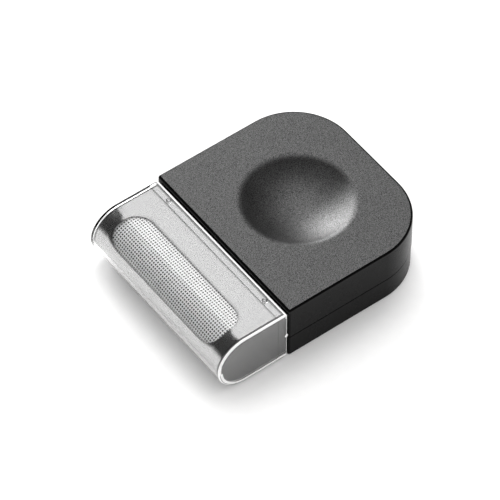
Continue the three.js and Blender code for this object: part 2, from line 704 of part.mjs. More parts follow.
function makeSwitchBody() {
  const block = box(SWITCH_BODY.x, SWITCH_BODY.y, SWITCH_BODY.z);
  const trackHeight = about(SWITCH_Z, SWITCH_TRACK.halfHeight);
  const track = box(SWITCH_TRACK.x, about(0, SWITCH_TRACK.halfWidth), trackHeight);
  const legs = [-SWITCH_LEG.pitch, 0, SWITCH_LEG.pitch].map((y) => (
    box(SWITCH_LEG.x, about(y, SWITCH_LEG.halfWidth), SWITCH_LEG.z)
  ));
  return cut(join(block, ...legs), track);
}

// The knob at its off end: a grooved pad in the pocket and a stem that works the switch.
function makeSwitchKnob() {
  const y = -SWITCH_TRAVEL / 2;
  const pad = box(
    [POCKET.floor + 0.1, HALF_LENGTH - 0.1],
    about(y, KNOB.halfWidth),
    about(SWITCH_Z, KNOB.halfHeight),
  );
  const stem = box(
    [KNOB.stemX, POCKET.floor + 0.3],
    about(y, KNOB.stemHalfWidth),
    about(SWITCH_Z, KNOB.stemHalfHeight),
  );
  const grooves = [];
  for (let i = 0; i < KNOB_GROOVE.count; i++) {
    const middle = y + i - (KNOB_GROOVE.count - 1) / 2;
    const bottom = HALF_LENGTH - KNOB_GROOVE.depth;
    grooves.push(box([bottom, BEYOND], about(middle, KNOB_GROOVE.halfWidth), [0, BEYOND]));
  }
  return cut(join(pad, stem), ...grooves);
}

// ---- motor ----

function motorSection(y) {
  return cylinderY(MOTOR_X, AXIS_Z, MOTOR.radius, y, 32).intersect(
    box(ACROSS, ACROSS, about(AXIS_Z, MOTOR.halfHeight)),
  );
}

function shaftBore() {
  return cylinderY(MOTOR_X, AXIS_Z, MOTOR_SHAFT.radius + RUNNING, ACROSS, 16);
}

function makeMotorCase() {
  const boss = cylinderY(MOTOR_X, AXIS_Z, MOTOR.boss, [MOTOR.y[1] - 0.5, MOTOR.bossEnd], 24);
  const threads = MOTOR_SCREW_X.map((x) => (
    cylinderY(x, AXIS_Z, MOTOR_SCREW.shank + GAP, [MOTOR_SCREW.tip - GAP, BEYOND], 12)
  ));
  return cut(join(motorSection(MOTOR.y), boss), shaftBore(), ...threads);
}

function makeMotorScrew(x) {
  return join(
    cylinderY(x, AXIS_Z, MOTOR_SCREW.head, MOTOR_SCREW.headY, 16),
    cylinderY(x, AXIS_Z, MOTOR_SCREW.shank, [MOTOR_SCREW.tip, MOTOR_SCREW.headY[0] + 0.1], 10),
  );
}

function makeTerminal(z) {
  return box(about(MOTOR_X, TERMINAL.halfWidth), TERMINAL.y, about(z, TERMINAL.halfThickness));
}

// ---- assembly ----

function addCasing() {
  add("upper_shell", makeUpperShell(), BLACK);
  add("lower_shell", makeLowerShell(), BLACK);
  add("battery_door", makeBatteryDoor(), BLACK);
  CASE_SCREW_PLACES.forEach((place, i) => add(`case_screw_${i + 1}`, makeScrew(place, CASE_SCREW), STEEL));
  add("switch_body", makeSwitchBody(), STEEL);
  add("switch_knob", makeSwitchKnob(), BLACK);
}

function addCutterFrame() {
  add("cutter_frame", makeCutterFrame(), INNER_BLACK);
  FRAME_SCREW_PLACES.forEach((place, i) => {
    add(`frame_screw_${i + 1}`, makeScrew(place, FRAME_SCREW), STEEL);
  });
  add("drum_bush_near", makeBush(NEAR_ARM), BRASS);
  add("drum_bush_far", makeBush(GEAR_PLATE), BRASS);
  IDLER_X.forEach((x, i) => {
    const span = [GEAR_PLATE[0], GEAR_FACE[1] + 0.1];
    add(`idler_pin_${i + 1}`, cylinderY(x, AXIS_Z, PIN_RADIUS, span, 16), STEEL);
  });
}

function addDrum() {
  add("drum_core", makeDrumCore(), INNER_BLACK);
  for (let i = 0; i < DRUM.blades; i++) {
    add(`drum_blade_${i + 1}`, makeBlade(i), STEEL);
  }
  add("drum_shaft", cylinderY(AXIS_X, AXIS_Z, SHAFT.radius, [SHAFT.near, GEAR_FACE[1]], 16), STEEL);
}

function addGears() {
  const first = nextPhase(0, TEETH.drum, TEETH.idler);
  const second = nextPhase(first, TEETH.idler, TEETH.idler);
  const last = nextPhase(second, TEETH.idler, TEETH.pinion);
  const pinBore = PIN_RADIUS + RUNNING;
  add("drum_gear", makeWebbedGear(TEETH.drum, AXIS_X, 0, SHAFT.radius + RUNNING), WHITE);
  add("idler_gear_1", makeWebbedGear(TEETH.idler, IDLER_X[0], first, pinBore), WHITE);
  add("idler_gear_2", makeWebbedGear(TEETH.idler, IDLER_X[1], second, pinBore), WHITE);
  add("motor_pinion", makeGear(TEETH.pinion, MOTOR_X, last, MOTOR_SHAFT.radius + RUNNING), BRASS);
}

function addMotor() {
  add("motor_case", makeMotorCase(), STEEL);
  add("motor_end_cap", cut(motorSection(MOTOR_CAP), shaftBore()), WHITE);
  add("motor_shaft", cylinderY(MOTOR_X, AXIS_Z, MOTOR_SHAFT.radius, MOTOR_SHAFT.y, 16), STEEL);
  about(AXIS_Z, TERMINAL.offset).forEach((z, i) => add(`motor_terminal_${i + 1}`, makeTerminal(z), BRASS));
  MOTOR_SCREW_X.forEach((x, i) => add(`motor_screw_${i + 1}`, makeMotorScrew(x), STEEL));
}

function addSupply() {
  const [front, rear] = CELL_X;
  add("battery_cell_1", makeCell(front, 1), CELL_WRAP);
  add("battery_cell_2", makeCell(rear, -1), CELL_WRAP);
  add("contact_spring_1", makeSpring(front, -1), STEEL);
  add("contact_spring_2", makeSpring(rear, 1), STEEL);
  add("contact_bridge", makeContact(front, rear, 1), STEEL);
  add("contact_minus", makeContact(front, front, -1), STEEL);
  add("contact_plus", makeContact(rear, rear, -1), STEEL);
  add("wire_black", makeWire(BLACK_ROUTE), INNER_BLACK);
  add("wire_red", makeWire(RED_ROUTE), RED);
  add("wire_white", makeWire(WHITE_ROUTE), WHITE);
}

function addHeadAndCap() {
  add("head_cheek_near", makeCheek(-1), CHEEK_GREY);
  add("head_cheek_far", makeCheek(1), CHEEK_GREY);
  add("foil_cover", makeCover(), POLISHED);
  add("shaver_foil", makeFoil(), STEEL);
  add("protective_cap", makeCap(), CLEAR);
}

addCasing();
addCutterFrame();
addDrum();
addGears();
addMotor();
addSupply();
addHeadAndCap();

export default shaver;
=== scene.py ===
import math

import bmesh
import bpy
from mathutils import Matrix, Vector


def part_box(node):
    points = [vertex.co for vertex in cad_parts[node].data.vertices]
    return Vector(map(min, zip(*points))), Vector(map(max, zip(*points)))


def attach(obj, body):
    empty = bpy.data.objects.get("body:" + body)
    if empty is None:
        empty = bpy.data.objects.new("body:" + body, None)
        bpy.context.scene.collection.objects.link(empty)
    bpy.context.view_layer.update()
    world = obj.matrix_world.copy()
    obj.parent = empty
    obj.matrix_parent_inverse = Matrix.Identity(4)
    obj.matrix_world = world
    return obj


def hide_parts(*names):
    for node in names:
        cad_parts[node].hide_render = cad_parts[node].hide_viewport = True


# Sizes below are in millimetres, in the CAD model's frame; make_object() turns them into metres.
MM = 0.001

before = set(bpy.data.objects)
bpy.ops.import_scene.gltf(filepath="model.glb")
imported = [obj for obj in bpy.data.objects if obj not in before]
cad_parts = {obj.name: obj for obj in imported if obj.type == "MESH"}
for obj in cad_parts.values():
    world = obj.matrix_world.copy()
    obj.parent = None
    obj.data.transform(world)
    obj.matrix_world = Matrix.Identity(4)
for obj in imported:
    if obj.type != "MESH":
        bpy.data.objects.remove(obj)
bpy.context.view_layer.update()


def cad(node):
    """Lowest and highest corner of a CAD node, in millimetres."""
    low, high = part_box(node)
    return low / MM, high / MM


# ---- driving sizes, from the frame ----
UPPER_LOW, UPPER_HIGH = cad("upper_shell")
LOWER_HIGH = cad("lower_shell")[1]
FRONT, REAR, SIDE, TOP = UPPER_LOW.x, UPPER_HIGH.x, UPPER_HIGH.y, UPPER_HIGH.z
PARTING = UPPER_LOW.z
LOWER_INSET = SIDE - LOWER_HIGH.y

CAP_LOW, CAP_HIGH = cad("protective_cap")
CAP_RADIUS = (CAP_HIGH.z - CAP_LOW.z) / 2
AXIS_X = CAP_LOW.x + CAP_RADIUS
AXIS_Z = (CAP_HIGH.z + CAP_LOW.z) / 2
CAP_RIM = CAP_HIGH.x
CAP_HALF = CAP_HIGH.y

COVER_LOW, COVER_HIGH = cad("foil_cover")
COVER_RADIUS = (COVER_HIGH.z - COVER_LOW.z) / 2
COVER_HALF = COVER_HIGH.y
HEAD_REAR = COVER_HIGH.x

FOIL_HIGH = cad("shaver_foil")[1]
FOIL_RADIUS = FOIL_HIGH.z - AXIS_Z
FOIL_HALF = FOIL_HIGH.y
FOIL_REAR = FOIL_HIGH.x

# ---- casing ----
REAR_RADIUS = 21.3
FRONT_RADIUS = 0.8
REAR_STEPS = 40
FRONT_STEPS = 6
WALL = 1.8
GAP = 0.3
EDGE = 0.5
TOP_EDGE = 0.75
EDGE_STEPS = 6
SEAM = 0.25
SEAM_BREAK = 0.2
LIP_HEIGHT = 1.5
LIP_WALL = 0.8
SUPPORT = 0.04
MOUTH_Y = (-31.3, 32.2)
MOUTH_Z = (3, 19)
DISH_X = 13.6
DISH_SPHERE = 38.8
DISH_DEPTH = 4.8
DISH_FILLET = 6
DISH_STEPS = 48
DISH_LAST_SLOPE = 0.012
DISH_TOOL_STEPS = 160
BULGE_ANGLE = 0.55
BULGE_STEPS = 96
GRAIN_REACH = 21
FLAT = 0.999
SLOPING = 0.5
CASE_SCREWS = ("case_screw_1", "case_screw_2", "case_screw_3", "case_screw_4")
FRAME_SCREWS = ("frame_screw_1", "frame_screw_2")
POST_RADIUS = 3.1
POST_FOOT = 0.6
BORE = 1.2
COUNTERBORE = 2.2
COUNTERBORE_TOP = 3
COUNTERBORE_BREAK = 0.25
BOSS_RADIUS = 2.6
BOSS_BORE = 1.15
BOSS_BORE_TOP = 16
BOSS_ROOT = 0.2
FRAME_POST_RADIUS = 2.2
FRAME_POST_TOP = 3.3
FRAME_POST_BORE = 1
FRAME_POST_BORE_Z = (2, 10)
FRAME_ROOM_REAR = -12.9
BAY_X = (13, 38.6)
BAY_FOOT = 1
BAY_WALL = 1.2
BAY_HALF = 24.5
BAY_TOP = 10.4

# ---- switch pocket and door ----
POCKET_FLOOR = 43
POCKET_HALF = 6.2
POCKET_HALF_HEIGHT = 2.9
POCKET_EASE = 0.35
SWITCH_Z = 16.2
SLOT_HALF = 3.9
SLOT_HALF_HEIGHT = 1.1
DOOR_HINGE = 15.4
DOOR_HINGE_Z = 0.9
DOOR_NOSE = 0.8
DOOR_HALF = 23.6
DOOR_REAR = 38.4
DOOR_THICKNESS = 1.6
DOOR_EASE = 0.18
HINGE_BORE = 0.57
HINGE_REACH = 1.6
TRUNNION_RADIUS = 0.45
TRUNNION_REACH = 1.3
GRIPS = 4
GRIP_PITCH = 1.6
GRIP_WIDTH = 0.7
GRIP_HALF = 6
GRIP_DEPTH = 0.4
GRIP_EASE = 0.15
FIRST_GRIP = 3
KNOB_EASE = 0.22
KNOB_GAP = 0.1
STEM_HALF = 1.2
STEM_Z = (15.6, 16.8)
GROOVES = 5
GROOVE_DEPTH = 0.4
GROOVE_HALF = 0.2
GROOVE_EASE = 0.1

# ---- screws: (tip, neck, top, head radius, shank radius) ----
CASE_SCREW = (14, 2.7, 1.2, 1.8, 0.85)
FRAME_SCREW = (2.4, 5.2, 6.3, 1.7, 0.75)
TIP_SHARE = 0.4
THREAD_PITCH = 0.5
THREAD_START = 0.4
THREAD_ROOT = 0.8
THREAD_HALF = 0.12
HEAD_EDGE = 0.5
HEAD_BREAK = 0.1
HEAD_NECK = 0.97
CROSS_DEPTH = 0.7
CROSS_REACH = 0.62
CROSS_HALF = 0.2
CROSS_EASE = 0.05

# ---- cap ----
CAP_WALL = 0.85
CAP_EDGE = 0.55
# The cap's painted glow: the strips beside the side walls (CAP_GLOW wide, above GLOW_LOW), the end faces'
# lower border ring (CAP_BORDER) and the rim strip (RIM_STRIP) get a white, mostly opaque finish that stands
# in for light piped out along the clear walls; the outermost CAP_EDGE_CLEAR stays clear.
CAP_EDGE_CLEAR = 0.03
CAP_GLOW = 0.72
CAP_BORDER = 1.45
GLOW_LOW = 2.6
CAP_FILLET = 0.85
RIM_EDGE = 0.4
RIM_STRIP = 0.75
TAB_RADIUS = 0.65
TAB_HEIGHT = 0.25
BAND_FRONT = -20.7
BAND_DEPTH = 0.2
BAND_EASE = 0.6
PIP_RADIUS = 0.9
PIP_DROP = 0.2
PIP_X = -19
PIP_Y = 25.5
END_FACE = 0.9
NOSE_STEPS = 56

# ---- head ----
COVER_THICKNESS = 0.35
WINDOW_HALF = 28
WINDOW_REAR = -28.3
WINDOW_LOW_ANGLE = 25
WINDOW_CORNER = 6.4
WINDOW_CORNER_STEPS = 14
WINDOW_SIDE_STEPS = 40
WINDOW_END_STEPS = 6
LIP_STEPS = 8
SHEET_STEPS = 30
LIP_WIDTH = 1.5
LIP_DROP = 0.11
FOIL_THICKNESS = 0.06
FOIL_LOW_ANGLE = 12
HOLE_PITCH = 0.98
HOLE_SIDE = 0.54
HOLE_COLUMNS = 57
HOLE_ROWS = 17
CHEEK_FACE = 33.5
CHEEK_RIM = 0.4
CHEEK_INNER = 32.3
CHEEK_EDGE = 0.12
CHEEK_MARGIN = 0.16
STEP_X = -20.2
STEP_DEPTH = 0.06
GATE_MARK = (-37.6, 4.8)
GATE_RADIUS = 0.28
LEDGE_OUTER = 7.95
LEDGE_INNER = 6.9
LEDGE_Y = 28.6
LEDGE_REAR = -25

# ---- drum ----
DRUM_HALF = 27
DRUM_CORE = 5.4
DRUM_TWIST = math.radians(30)
DRUM_STEPS = 36
BLADES = 4
BLADE_INNER = 3.9
BLADE_OUTER = 7.9
BLADE_THICKNESS = 0.5
SLOT_FLOOR = 3.6
SLOT_WIDTH = 1.2
CORE_ARC_STEPS = 16
BLADE_BEVEL = 0.5
BLADE_FLANK = 0.12

# ---- cells and springs ----
CELL_BUTTON = 1.9
CELL_BUTTON_TOP = 1.6
CELL_BUTTON_EDGE = 0.3
CELL_RING = (3.6, 3.4, 2.3)
CELL_RING_DEPTH = 0.3
CELL_BASE = (2.6, 3)
CELL_BASE_DISH = 0.25
CELL_BUTTON_HEIGHT = 1
CELL_END_FACE = 1.2
SHOULDER = ((0.7, 0), (0.25, 0.1), (0, 0.45))
SPRING_WIRE = 0.3
SPRING_TURNS = 3
SPRING_STEPS = 28
SPRING_RADIUS = 3.4
SPRING_TAPER = 1.2

# ---- floor, lights and camera ----
FLOOR_HALF = 3000
CAMERA_AZIMUTH = math.radians(-36.89)
CAMERA_ELEVATION = math.radians(50.8)
CAMERA_DISTANCE = 1253.6
CAMERA_TARGET = Vector((-5.28, 0.45, 10.0))
LENS = 281.6
CLIP_START = 0.01
WORLD_STRENGTH = 0.9
WORLD_TINT = (1, 0.995, 0.99, 1)
HORIZON_STRENGTH = 0.8
CEILING_STRENGTH = 0.04
BACK_TILT = 0.3
CLEAR_TILT = -0.28
HORIZON = (-0.1, 0.17)

# ---- material noise ----
NOISE_ROUGHNESS = 0.6
BLOTCH_DETAIL = 4.0
BLOTCH_SHARE = 0.25
COLOUR_RANGE = (0.4, 0.85)
SHADOW_TINT = 0.93


# ---- mesh helpers ----

def make_object(name, points, faces):
    """A mesh object from points in millimetres."""
    mesh = bpy.data.meshes.new(name)
    mesh.from_pydata([[c * MM for c in p] for p in points], [], faces)
    obj = bpy.data.objects.new(name, mesh)
    bpy.context.scene.collection.objects.link(obj)
    bm = bmesh.new()
    bm.from_mesh(mesh)
    bmesh.ops.recalc_face_normals(bm, faces=bm.faces)
    bm.to_mesh(mesh)
    bm.free()
    return obj


def loft(name, rings, around=True, capped=True):
    """Quads between rings of equally many points. A ring of one point closes that end as a fan."""
    points, starts = [], []
    for ring in rings:
        starts.append(len(points))
        points += ring
    faces = []
    for a, b, ring, following in zip(starts, starts[1:], rings, rings[1:]):
        count = max(len(ring), len(following))
        for i in range(count if around else count - 1):
            j = (i + 1) % count
            if len(ring) == 1:
                faces.append((a, b + j, b + i))
            elif len(following) == 1:
                faces.append((a + i, a + j, b))
            else:
                faces.append((a + i, a + j, b + j, b + i))
    if capped:
        for start, ring in ((starts[0], rings[0]), (starts[-1], rings[-1])):
            if len(ring) > 2:
                faces.append(tuple(range(start, start + len(ring))))
    return make_object(name, points, faces)


def lathe(name, profile, centre, axis="Z", steps=48):
    """A body of revolution from (radius, place along the axis) pairs."""
    rings = []
    for radius, along in profile:
        ring = []
        for i in range(steps if radius > 0 else 1):
            angle = 2 * math.pi * i / steps
            u, v = radius * math.cos(angle), radius * math.sin(angle)
            if axis == "Z":
                ring.append((centre[0] + u, centre[1] + v, along))
            else:
                ring.append((centre[0] + u, along, centre[1] - v))
        rings.append(ring)
    return loft(name, rings)


def rounded_box(name, x, y, z, radius=0.0, segments=3):
    """A box between the given pairs of places, with its edges rounded."""
    corners = [(a, b, c) for a in x for b in y for c in z]
    faces = [(0, 1, 3, 2), (4, 6, 7, 5), (0, 4, 5, 1), (2, 3, 7, 6), (0, 2, 6, 4), (1, 5, 7, 3)]
    obj = make_object(name, corners, faces)
    if radius:
        bm = bmesh.new()
        bm.from_mesh(obj.data)
        bmesh.ops.bevel(
            bm, geom=bm.edges[:], offset=radius * MM, segments=segments, profile=0.5, affect="EDGES"
        )
        bm.to_mesh(obj.data)
        bm.free()
    return obj


def bake_modifiers(obj):
    """Turns an object's modifiers into its mesh."""
    graph = bpy.context.evaluated_depsgraph_get()
    mesh = bpy.data.meshes.new_from_object(obj.evaluated_get(graph))
    obj.modifiers.clear()
    obj.data = mesh


def combine(obj, operation, *tools):
    """Joins, cuts or intersects obj with closed tools, which are used up."""
    for tool in tools:
        modifier = obj.modifiers.new(tool.name, "BOOLEAN")
        modifier.operation = operation
        modifier.solver = "MANIFOLD"
        modifier.object = tool
    bake_modifiers(obj)
    for tool in tools:
        bpy.data.objects.remove(tool)
    return obj


def join(obj, *tools):
    return combine(obj, "UNION", *tools)


def cut(obj, *tools):
    return combine(obj, "DIFFERENCE", *tools)


def smooth(obj, angle=28):
    """Smooth shading, with sharp edges over an angle or between two materials, and flat faces kept flat."""
    mesh = obj.data
    mesh.shade_smooth()
    mesh.set_sharp_from_angle(angle=math.radians(angle))
    bm = bmesh.new()
    bm.from_mesh(mesh)
    for edge in bm.edges:
        if len({face.material_index for face in edge.link_faces}) > 1:
            edge.smooth = False
    bm.to_mesh(mesh)
    bm.free()
    weighted = obj.modifiers.new("flat_faces", "WEIGHTED_NORMAL")
    weighted.mode = "FACE_AREA"
    weighted.keep_sharp = True


def paint(obj, materials, rule=None):
    """Gives obj its materials. The rule picks one per face, from its middle in millimetres and its normal."""
    obj.data.materials.clear()
    for material in materials:
        obj.data.materials.append(material)
    for face in obj.data.polygons:
        face.material_index = rule(face.center / MM, face.normal) if rule else 0


def finish_piece(obj, body, node, materials, rule=None, angle=28):
    """A finished piece that stands for a CAD node and rides on its body."""
    paint(obj, materials, rule)
    smooth(obj, angle)
    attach(obj, body)
    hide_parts(node)
    return obj


def edge_arc(inset, z, radius, up):
    """Rounded edge as (inset, z) pairs, from the flat face outwards; up is 1 for a top edge and -1 below."""
    arc = []
    for i in range(EDGE_STEPS + 1):
        angle = math.pi / 2 * i / EDGE_STEPS
        arc.append((inset + radius * (1 - math.sin(angle)), z - up * radius * (1 - math.cos(angle))))
    return arc


# ---- casing ----

def plan_outline(inset):
    """The casing's plan outline moved in by inset: square front corners, large round rear ones."""
    small = max(FRONT_RADIUS - inset, 0.05)
    large = REAR_RADIUS - inset
    near, far = -SIDE + inset, SIDE - inset
    corners = (
        (REAR - REAR_RADIUS, near + large, large, 270, REAR_STEPS),
        (REAR - REAR_RADIUS, far - large, large, 0, REAR_STEPS),
        (FRONT + inset + small, far - small, small, 90, FRONT_STEPS),
        (FRONT + inset + small, near + small, small, 180, FRONT_STEPS),
    )
    points = []
    for x, y, radius, start, steps in corners:
        for i in range(steps + 1):
            angle = math.radians(start + 90 * i / steps)
            points.append((x + radius * math.cos(angle), y + radius * math.sin(angle)))
    return points


def plan_loft(name, profile):
    """A solid whose plan is the casing's outline, from (inset, z) pairs."""
    return loft(name, [[(x, y, z) for x, y in plan_outline(inset)] for inset, z in profile])


def dish_profile():
    """Half section of the thumb dish as (radius, z): a sphere, then a fillet that runs out onto the top."""
    reach = math.sqrt((DISH_SPHERE + DISH_FILLET) ** 2 - (DISH_SPHERE - DISH_DEPTH + DISH_FILLET) ** 2)
    steepest = math.asin(reach / (DISH_SPHERE + DISH_FILLET))
    profile = []
    for i in range(DISH_STEPS + 1):
        angle = steepest * i / DISH_STEPS
        z = TOP - DISH_DEPTH + DISH_SPHERE * (1 - math.cos(angle))
        profile.append((DISH_SPHERE * math.sin(angle), z))
    fillet_steps = DISH_STEPS // 3
    for i in range(1, fillet_steps + 1):
        angle = steepest + (DISH_LAST_SLOPE - steepest) * i / fillet_steps
        profile.append((reach - DISH_FILLET * math.sin(angle), TOP - DISH_FILLET * (1 - math.cos(angle))))
    radius, z = profile[-1]
    over = TOP + SUPPORT
    profile.append((radius + (over - z) / math.tan(DISH_LAST_SLOPE), over))
    return profile


def dish_tool():
    profile = dish_profile()
    profile.append((profile[-1][0], TOP + 2))
    profile.append((0, TOP + 2))
    return lathe("dish_tool", profile, (DISH_X, 0), steps=DISH_TOOL_STEPS)


def tube_tool(x, y, radius, z):
    return lathe("tube_tool", [(0, z[0]), (radius, z[0]), (radius, z[1]), (0, z[1])], (x, y), steps=32)


def screw_place(node):
    """Middle of a screw in the plan."""
    low, high = cad(node)
    return (low.x + high.x) / 2, (low.y + high.y) / 2


def mouth_tool():
    return rounded_box("mouth_tool", (FRONT - 1, FRONT + WALL + 0.1), MOUTH_Y, MOUTH_Z)


def make_upper_shell():
    outer = [(SEAM_BREAK, PARTING), (0, PARTING + SEAM_BREAK), (0, PARTING + SEAM_BREAK + SUPPORT)]
    outer += [(0, TOP - TOP_EDGE - SUPPORT)] + edge_arc(0, TOP, TOP_EDGE, 1)[::-1]
    shell = plan_loft("upper_shell_moulding", outer)
    ceiling = TOP - WALL
    cavity = plan_loft("cavity_tool", [(WALL, PARTING - 1), (WALL, ceiling - GAP), (WALL + GAP, ceiling)])
    sphere = DISH_SPHERE + WALL
    centre = TOP - DISH_DEPTH + DISH_SPHERE
    bulge = []
    for i in range(DISH_STEPS + 1):
        angle = BULGE_ANGLE * i / DISH_STEPS
        bulge.append((sphere * math.sin(angle), centre - sphere * math.cos(angle)))
    bulge += [(bulge[-1][0], TOP + 1), (0, TOP + 1)]
    cut(cavity, lathe("bulge_tool", bulge, (DISH_X, 0), steps=BULGE_STEPS))
    pocket = rounded_box(
        "pocket_tool",
        (POCKET_FLOOR, REAR + 2),
        (-POCKET_HALF, POCKET_HALF),
        (SWITCH_Z - POCKET_HALF_HEIGHT, SWITCH_Z + POCKET_HALF_HEIGHT),
        POCKET_EASE,
    )
    slot = rounded_box(
        "slot_tool",
        (REAR - WALL - 1, REAR + 2),
        (-SLOT_HALF, SLOT_HALF),
        (SWITCH_Z - SLOT_HALF_HEIGHT, SWITCH_Z + SLOT_HALF_HEIGHT),
    )
    cut(shell, cavity, dish_tool(), mouth_tool(), pocket, slot)
    for node in CASE_SCREWS:
        x, y = screw_place(node)
        boss = tube_tool(x, y, BOSS_RADIUS, (PARTING + GAP, ceiling + BOSS_ROOT))
        join(shell, cut(boss, tube_tool(x, y, BOSS_BORE, (PARTING, BOSS_BORE_TOP))))
    grain, polish, satin = materials["grain"], materials["polish"], materials["satin"]

    def rule(middle, normal):
        if middle.z > TOP - SUPPORT and normal.z > FLAT:
            return 0
        in_dish = (middle.x - DISH_X) ** 2 + middle.y ** 2 < GRAIN_REACH ** 2
        if in_dish and middle.z > TOP - DISH_DEPTH - 0.1 and normal.z > SLOPING:
            return 0
        if middle.z > TOP - TOP_EDGE - SUPPORT and middle.z < TOP:
            return 1
        return 2

    finish_piece(shell, "casing", "upper_shell", [grain, polish, satin], rule)


def make_lower_shell():
    top = PARTING - SEAM
    profile = edge_arc(LOWER_INSET, 0, EDGE, -1)
    profile += [(LOWER_INSET, EDGE + SUPPORT), (LOWER_INSET, top - SEAM_BREAK - SUPPORT)]
    profile += [(LOWER_INSET, top - SEAM_BREAK), (LOWER_INSET + SEAM_BREAK, top)]
    shell = plan_loft("lower_shell_moulding", profile)
    lip = plan_loft("lip_tool", [(WALL + GAP, WALL), (WALL + GAP, PARTING + LIP_HEIGHT)])
    room = plan_loft("room_tool", [(WALL + GAP + LIP_WALL, WALL), (WALL + GAP + LIP_WALL, PARTING + 5)])
    cut(join(shell, lip), room)
    bay = rounded_box("bay_tool", BAY_X, (-BAY_HALF - BAY_WALL, BAY_HALF + BAY_WALL), (BAY_FOOT, BAY_TOP))
    bay_inset = WALL + GAP + 0.1
    combine(bay, "INTERSECT", plan_loft("bay_room", [(bay_inset, 0.5), (bay_inset, BAY_TOP + 1)]))
    cut(bay, rounded_box("bay_inside", (BAY_X[0] + BAY_WALL, 60), (-BAY_HALF, BAY_HALF), (0, BAY_TOP + 1)))
    join(shell, bay)
    for node in CASE_SCREWS:
        x, y = screw_place(node)
        join(shell, tube_tool(x, y, POST_RADIUS, (POST_FOOT, PARTING)))
    for node in FRAME_SCREWS:
        x, y = screw_place(node)
        join(shell, tube_tool(x, y, FRAME_POST_RADIUS, (1, FRAME_POST_TOP)))
    frame_room = rounded_box("frame_room", (FRONT + WALL - 0.1, FRAME_ROOM_REAR), (-60, 60), (WALL, 60))
    combine(frame_room, "INTERSECT", plan_loft("frame_plan", [(WALL, 0), (WALL, TOP)]))
    opening = rounded_box(
        "door_tool",
        (DOOR_HINGE - DOOR_NOSE - GAP, DOOR_REAR + 0.5),
        (-DOOR_HALF - GAP, DOOR_HALF + GAP),
        (-1, WALL + 1),
    )
    reach = DOOR_HALF + HINGE_REACH
    hinge = [(0, -reach), (HINGE_BORE, -reach), (HINGE_BORE, reach), (0, reach)]
    hinge_tool = lathe("hinge_tool", hinge, (DOOR_HINGE, DOOR_HINGE_Z), "Y", 24)
    cut(shell, frame_room, mouth_tool(), opening, hinge_tool)
    mouth = COUNTERBORE + COUNTERBORE_BREAK
    counterbore = [
        (0, -1), (mouth, -1), (mouth, 0), (COUNTERBORE, COUNTERBORE_BREAK),
        (COUNTERBORE, COUNTERBORE_TOP), (BORE, COUNTERBORE_TOP), (BORE, PARTING + 1), (0, PARTING + 1),
    ]
    for node in CASE_SCREWS:
        cut(shell, lathe("screw_tool", counterbore, screw_place(node), steps=40))
    for node in FRAME_SCREWS:
        x, y = screw_place(node)
        cut(shell, tube_tool(x, y, FRAME_POST_BORE, FRAME_POST_BORE_Z))
    finish_piece(shell, "casing", "lower_shell", [materials["satin"]])


def make_battery_door():
    low = DOOR_HINGE_Z - DOOR_NOSE
    door = rounded_box(
        "battery_door_moulding",
        (DOOR_HINGE, DOOR_REAR),
        (-DOOR_HALF, DOOR_HALF),
        (low, low + DOOR_THICKNESS),
        DOOR_EASE,
    )
    barrel = [(0, -DOOR_HALF), (DOOR_NOSE, -DOOR_HALF), (DOOR_NOSE, DOOR_HALF), (0, DOOR_HALF)]
    reach = DOOR_HALF + TRUNNION_REACH
    trunnion = [(0, -reach), (TRUNNION_RADIUS, -reach), (TRUNNION_RADIUS, reach), (0, reach)]
    place = (DOOR_HINGE, DOOR_HINGE_Z)
    join(door, lathe("barrel", barrel, place, "Y", 40), lathe("trunnion", trunnion, place, "Y", 20))
    for i in range(GRIPS):
        x = DOOR_REAR - FIRST_GRIP - GRIP_PITCH * i
        depth = (low - 1, low + GRIP_DEPTH)
        cut(door, rounded_box("grip", (x, x + GRIP_WIDTH), (-GRIP_HALF, GRIP_HALF), depth, GRIP_EASE))
    finish_piece(door, "door", "battery_door", [materials["satin"]])


def make_switch_knob():
    low, high = cad("switch_knob")
    middle = (low.y + high.y) / 2
    knob = rounded_box(
        "switch_knob_moulding",
        (POCKET_FLOOR + KNOB_GAP, high.x),
        (low.y, high.y),
        (low.z, high.z),
        KNOB_EASE,
    )
    stem_x = (low.x, POCKET_FLOOR + 0.4)
    join(knob, rounded_box("stem", stem_x, (middle - STEM_HALF, middle + STEM_HALF), STEM_Z))
    for i in range(GROOVES):
        y = middle + i - 2
        groove = rounded_box(
            "groove",
            (high.x - GROOVE_DEPTH, high.x + 1),
            (y - GROOVE_HALF, y + GROOVE_HALF),
            (low.z - 1, high.z + 1),
            GROOVE_EASE,
        )
        cut(knob, groove)
    finish_piece(knob, "switch", "switch_knob", [materials["satin"]])


def make_screw(node, tip, neck, top, head, shank):
    """A cross-head screw with a domed head and a threaded shank; the head points to top."""
    x, y = screw_place(node)
    up = 1 if top > neck else -1
    profile = [(0, tip), (shank * TIP_SHARE, tip)]
    turns = int(abs(neck - tip) / THREAD_PITCH) - 1
    root = shank * THREAD_ROOT
    for i in range(turns):
        z = tip + up * (THREAD_START + THREAD_PITCH * i)
        profile += [(root, z - up * THREAD_HALF), (shank, z), (root, z + up * THREAD_HALF)]
    profile += [(shank, neck), (head * HEAD_NECK, neck)]
    profile += [(head, neck + up * HEAD_BREAK), (head, top - up * HEAD_EDGE)]
    for i in range(1, EDGE_STEPS + 1):
        angle = math.pi / 2 * i / EDGE_STEPS
        radius = head - HEAD_EDGE * (1 - math.cos(angle))
        profile.append((radius, top - up * HEAD_EDGE * (1 - math.sin(angle))))
    profile.append((0, top))
    screw = lathe(node + "_turned", profile, (x, y), steps=40)
    deep = sorted((top - up * CROSS_DEPTH, top + up))
    arm = head * CROSS_REACH
    for half_x, half_y in ((arm, CROSS_HALF), (CROSS_HALF, arm)):
        place = (x - half_x, x + half_x), (y - half_y, y + half_y), deep
        cut(screw, rounded_box("cross", *place, CROSS_EASE))
    finish_piece(screw, "casing", node, [materials["screw_steel"]])


# ---- head profile ----

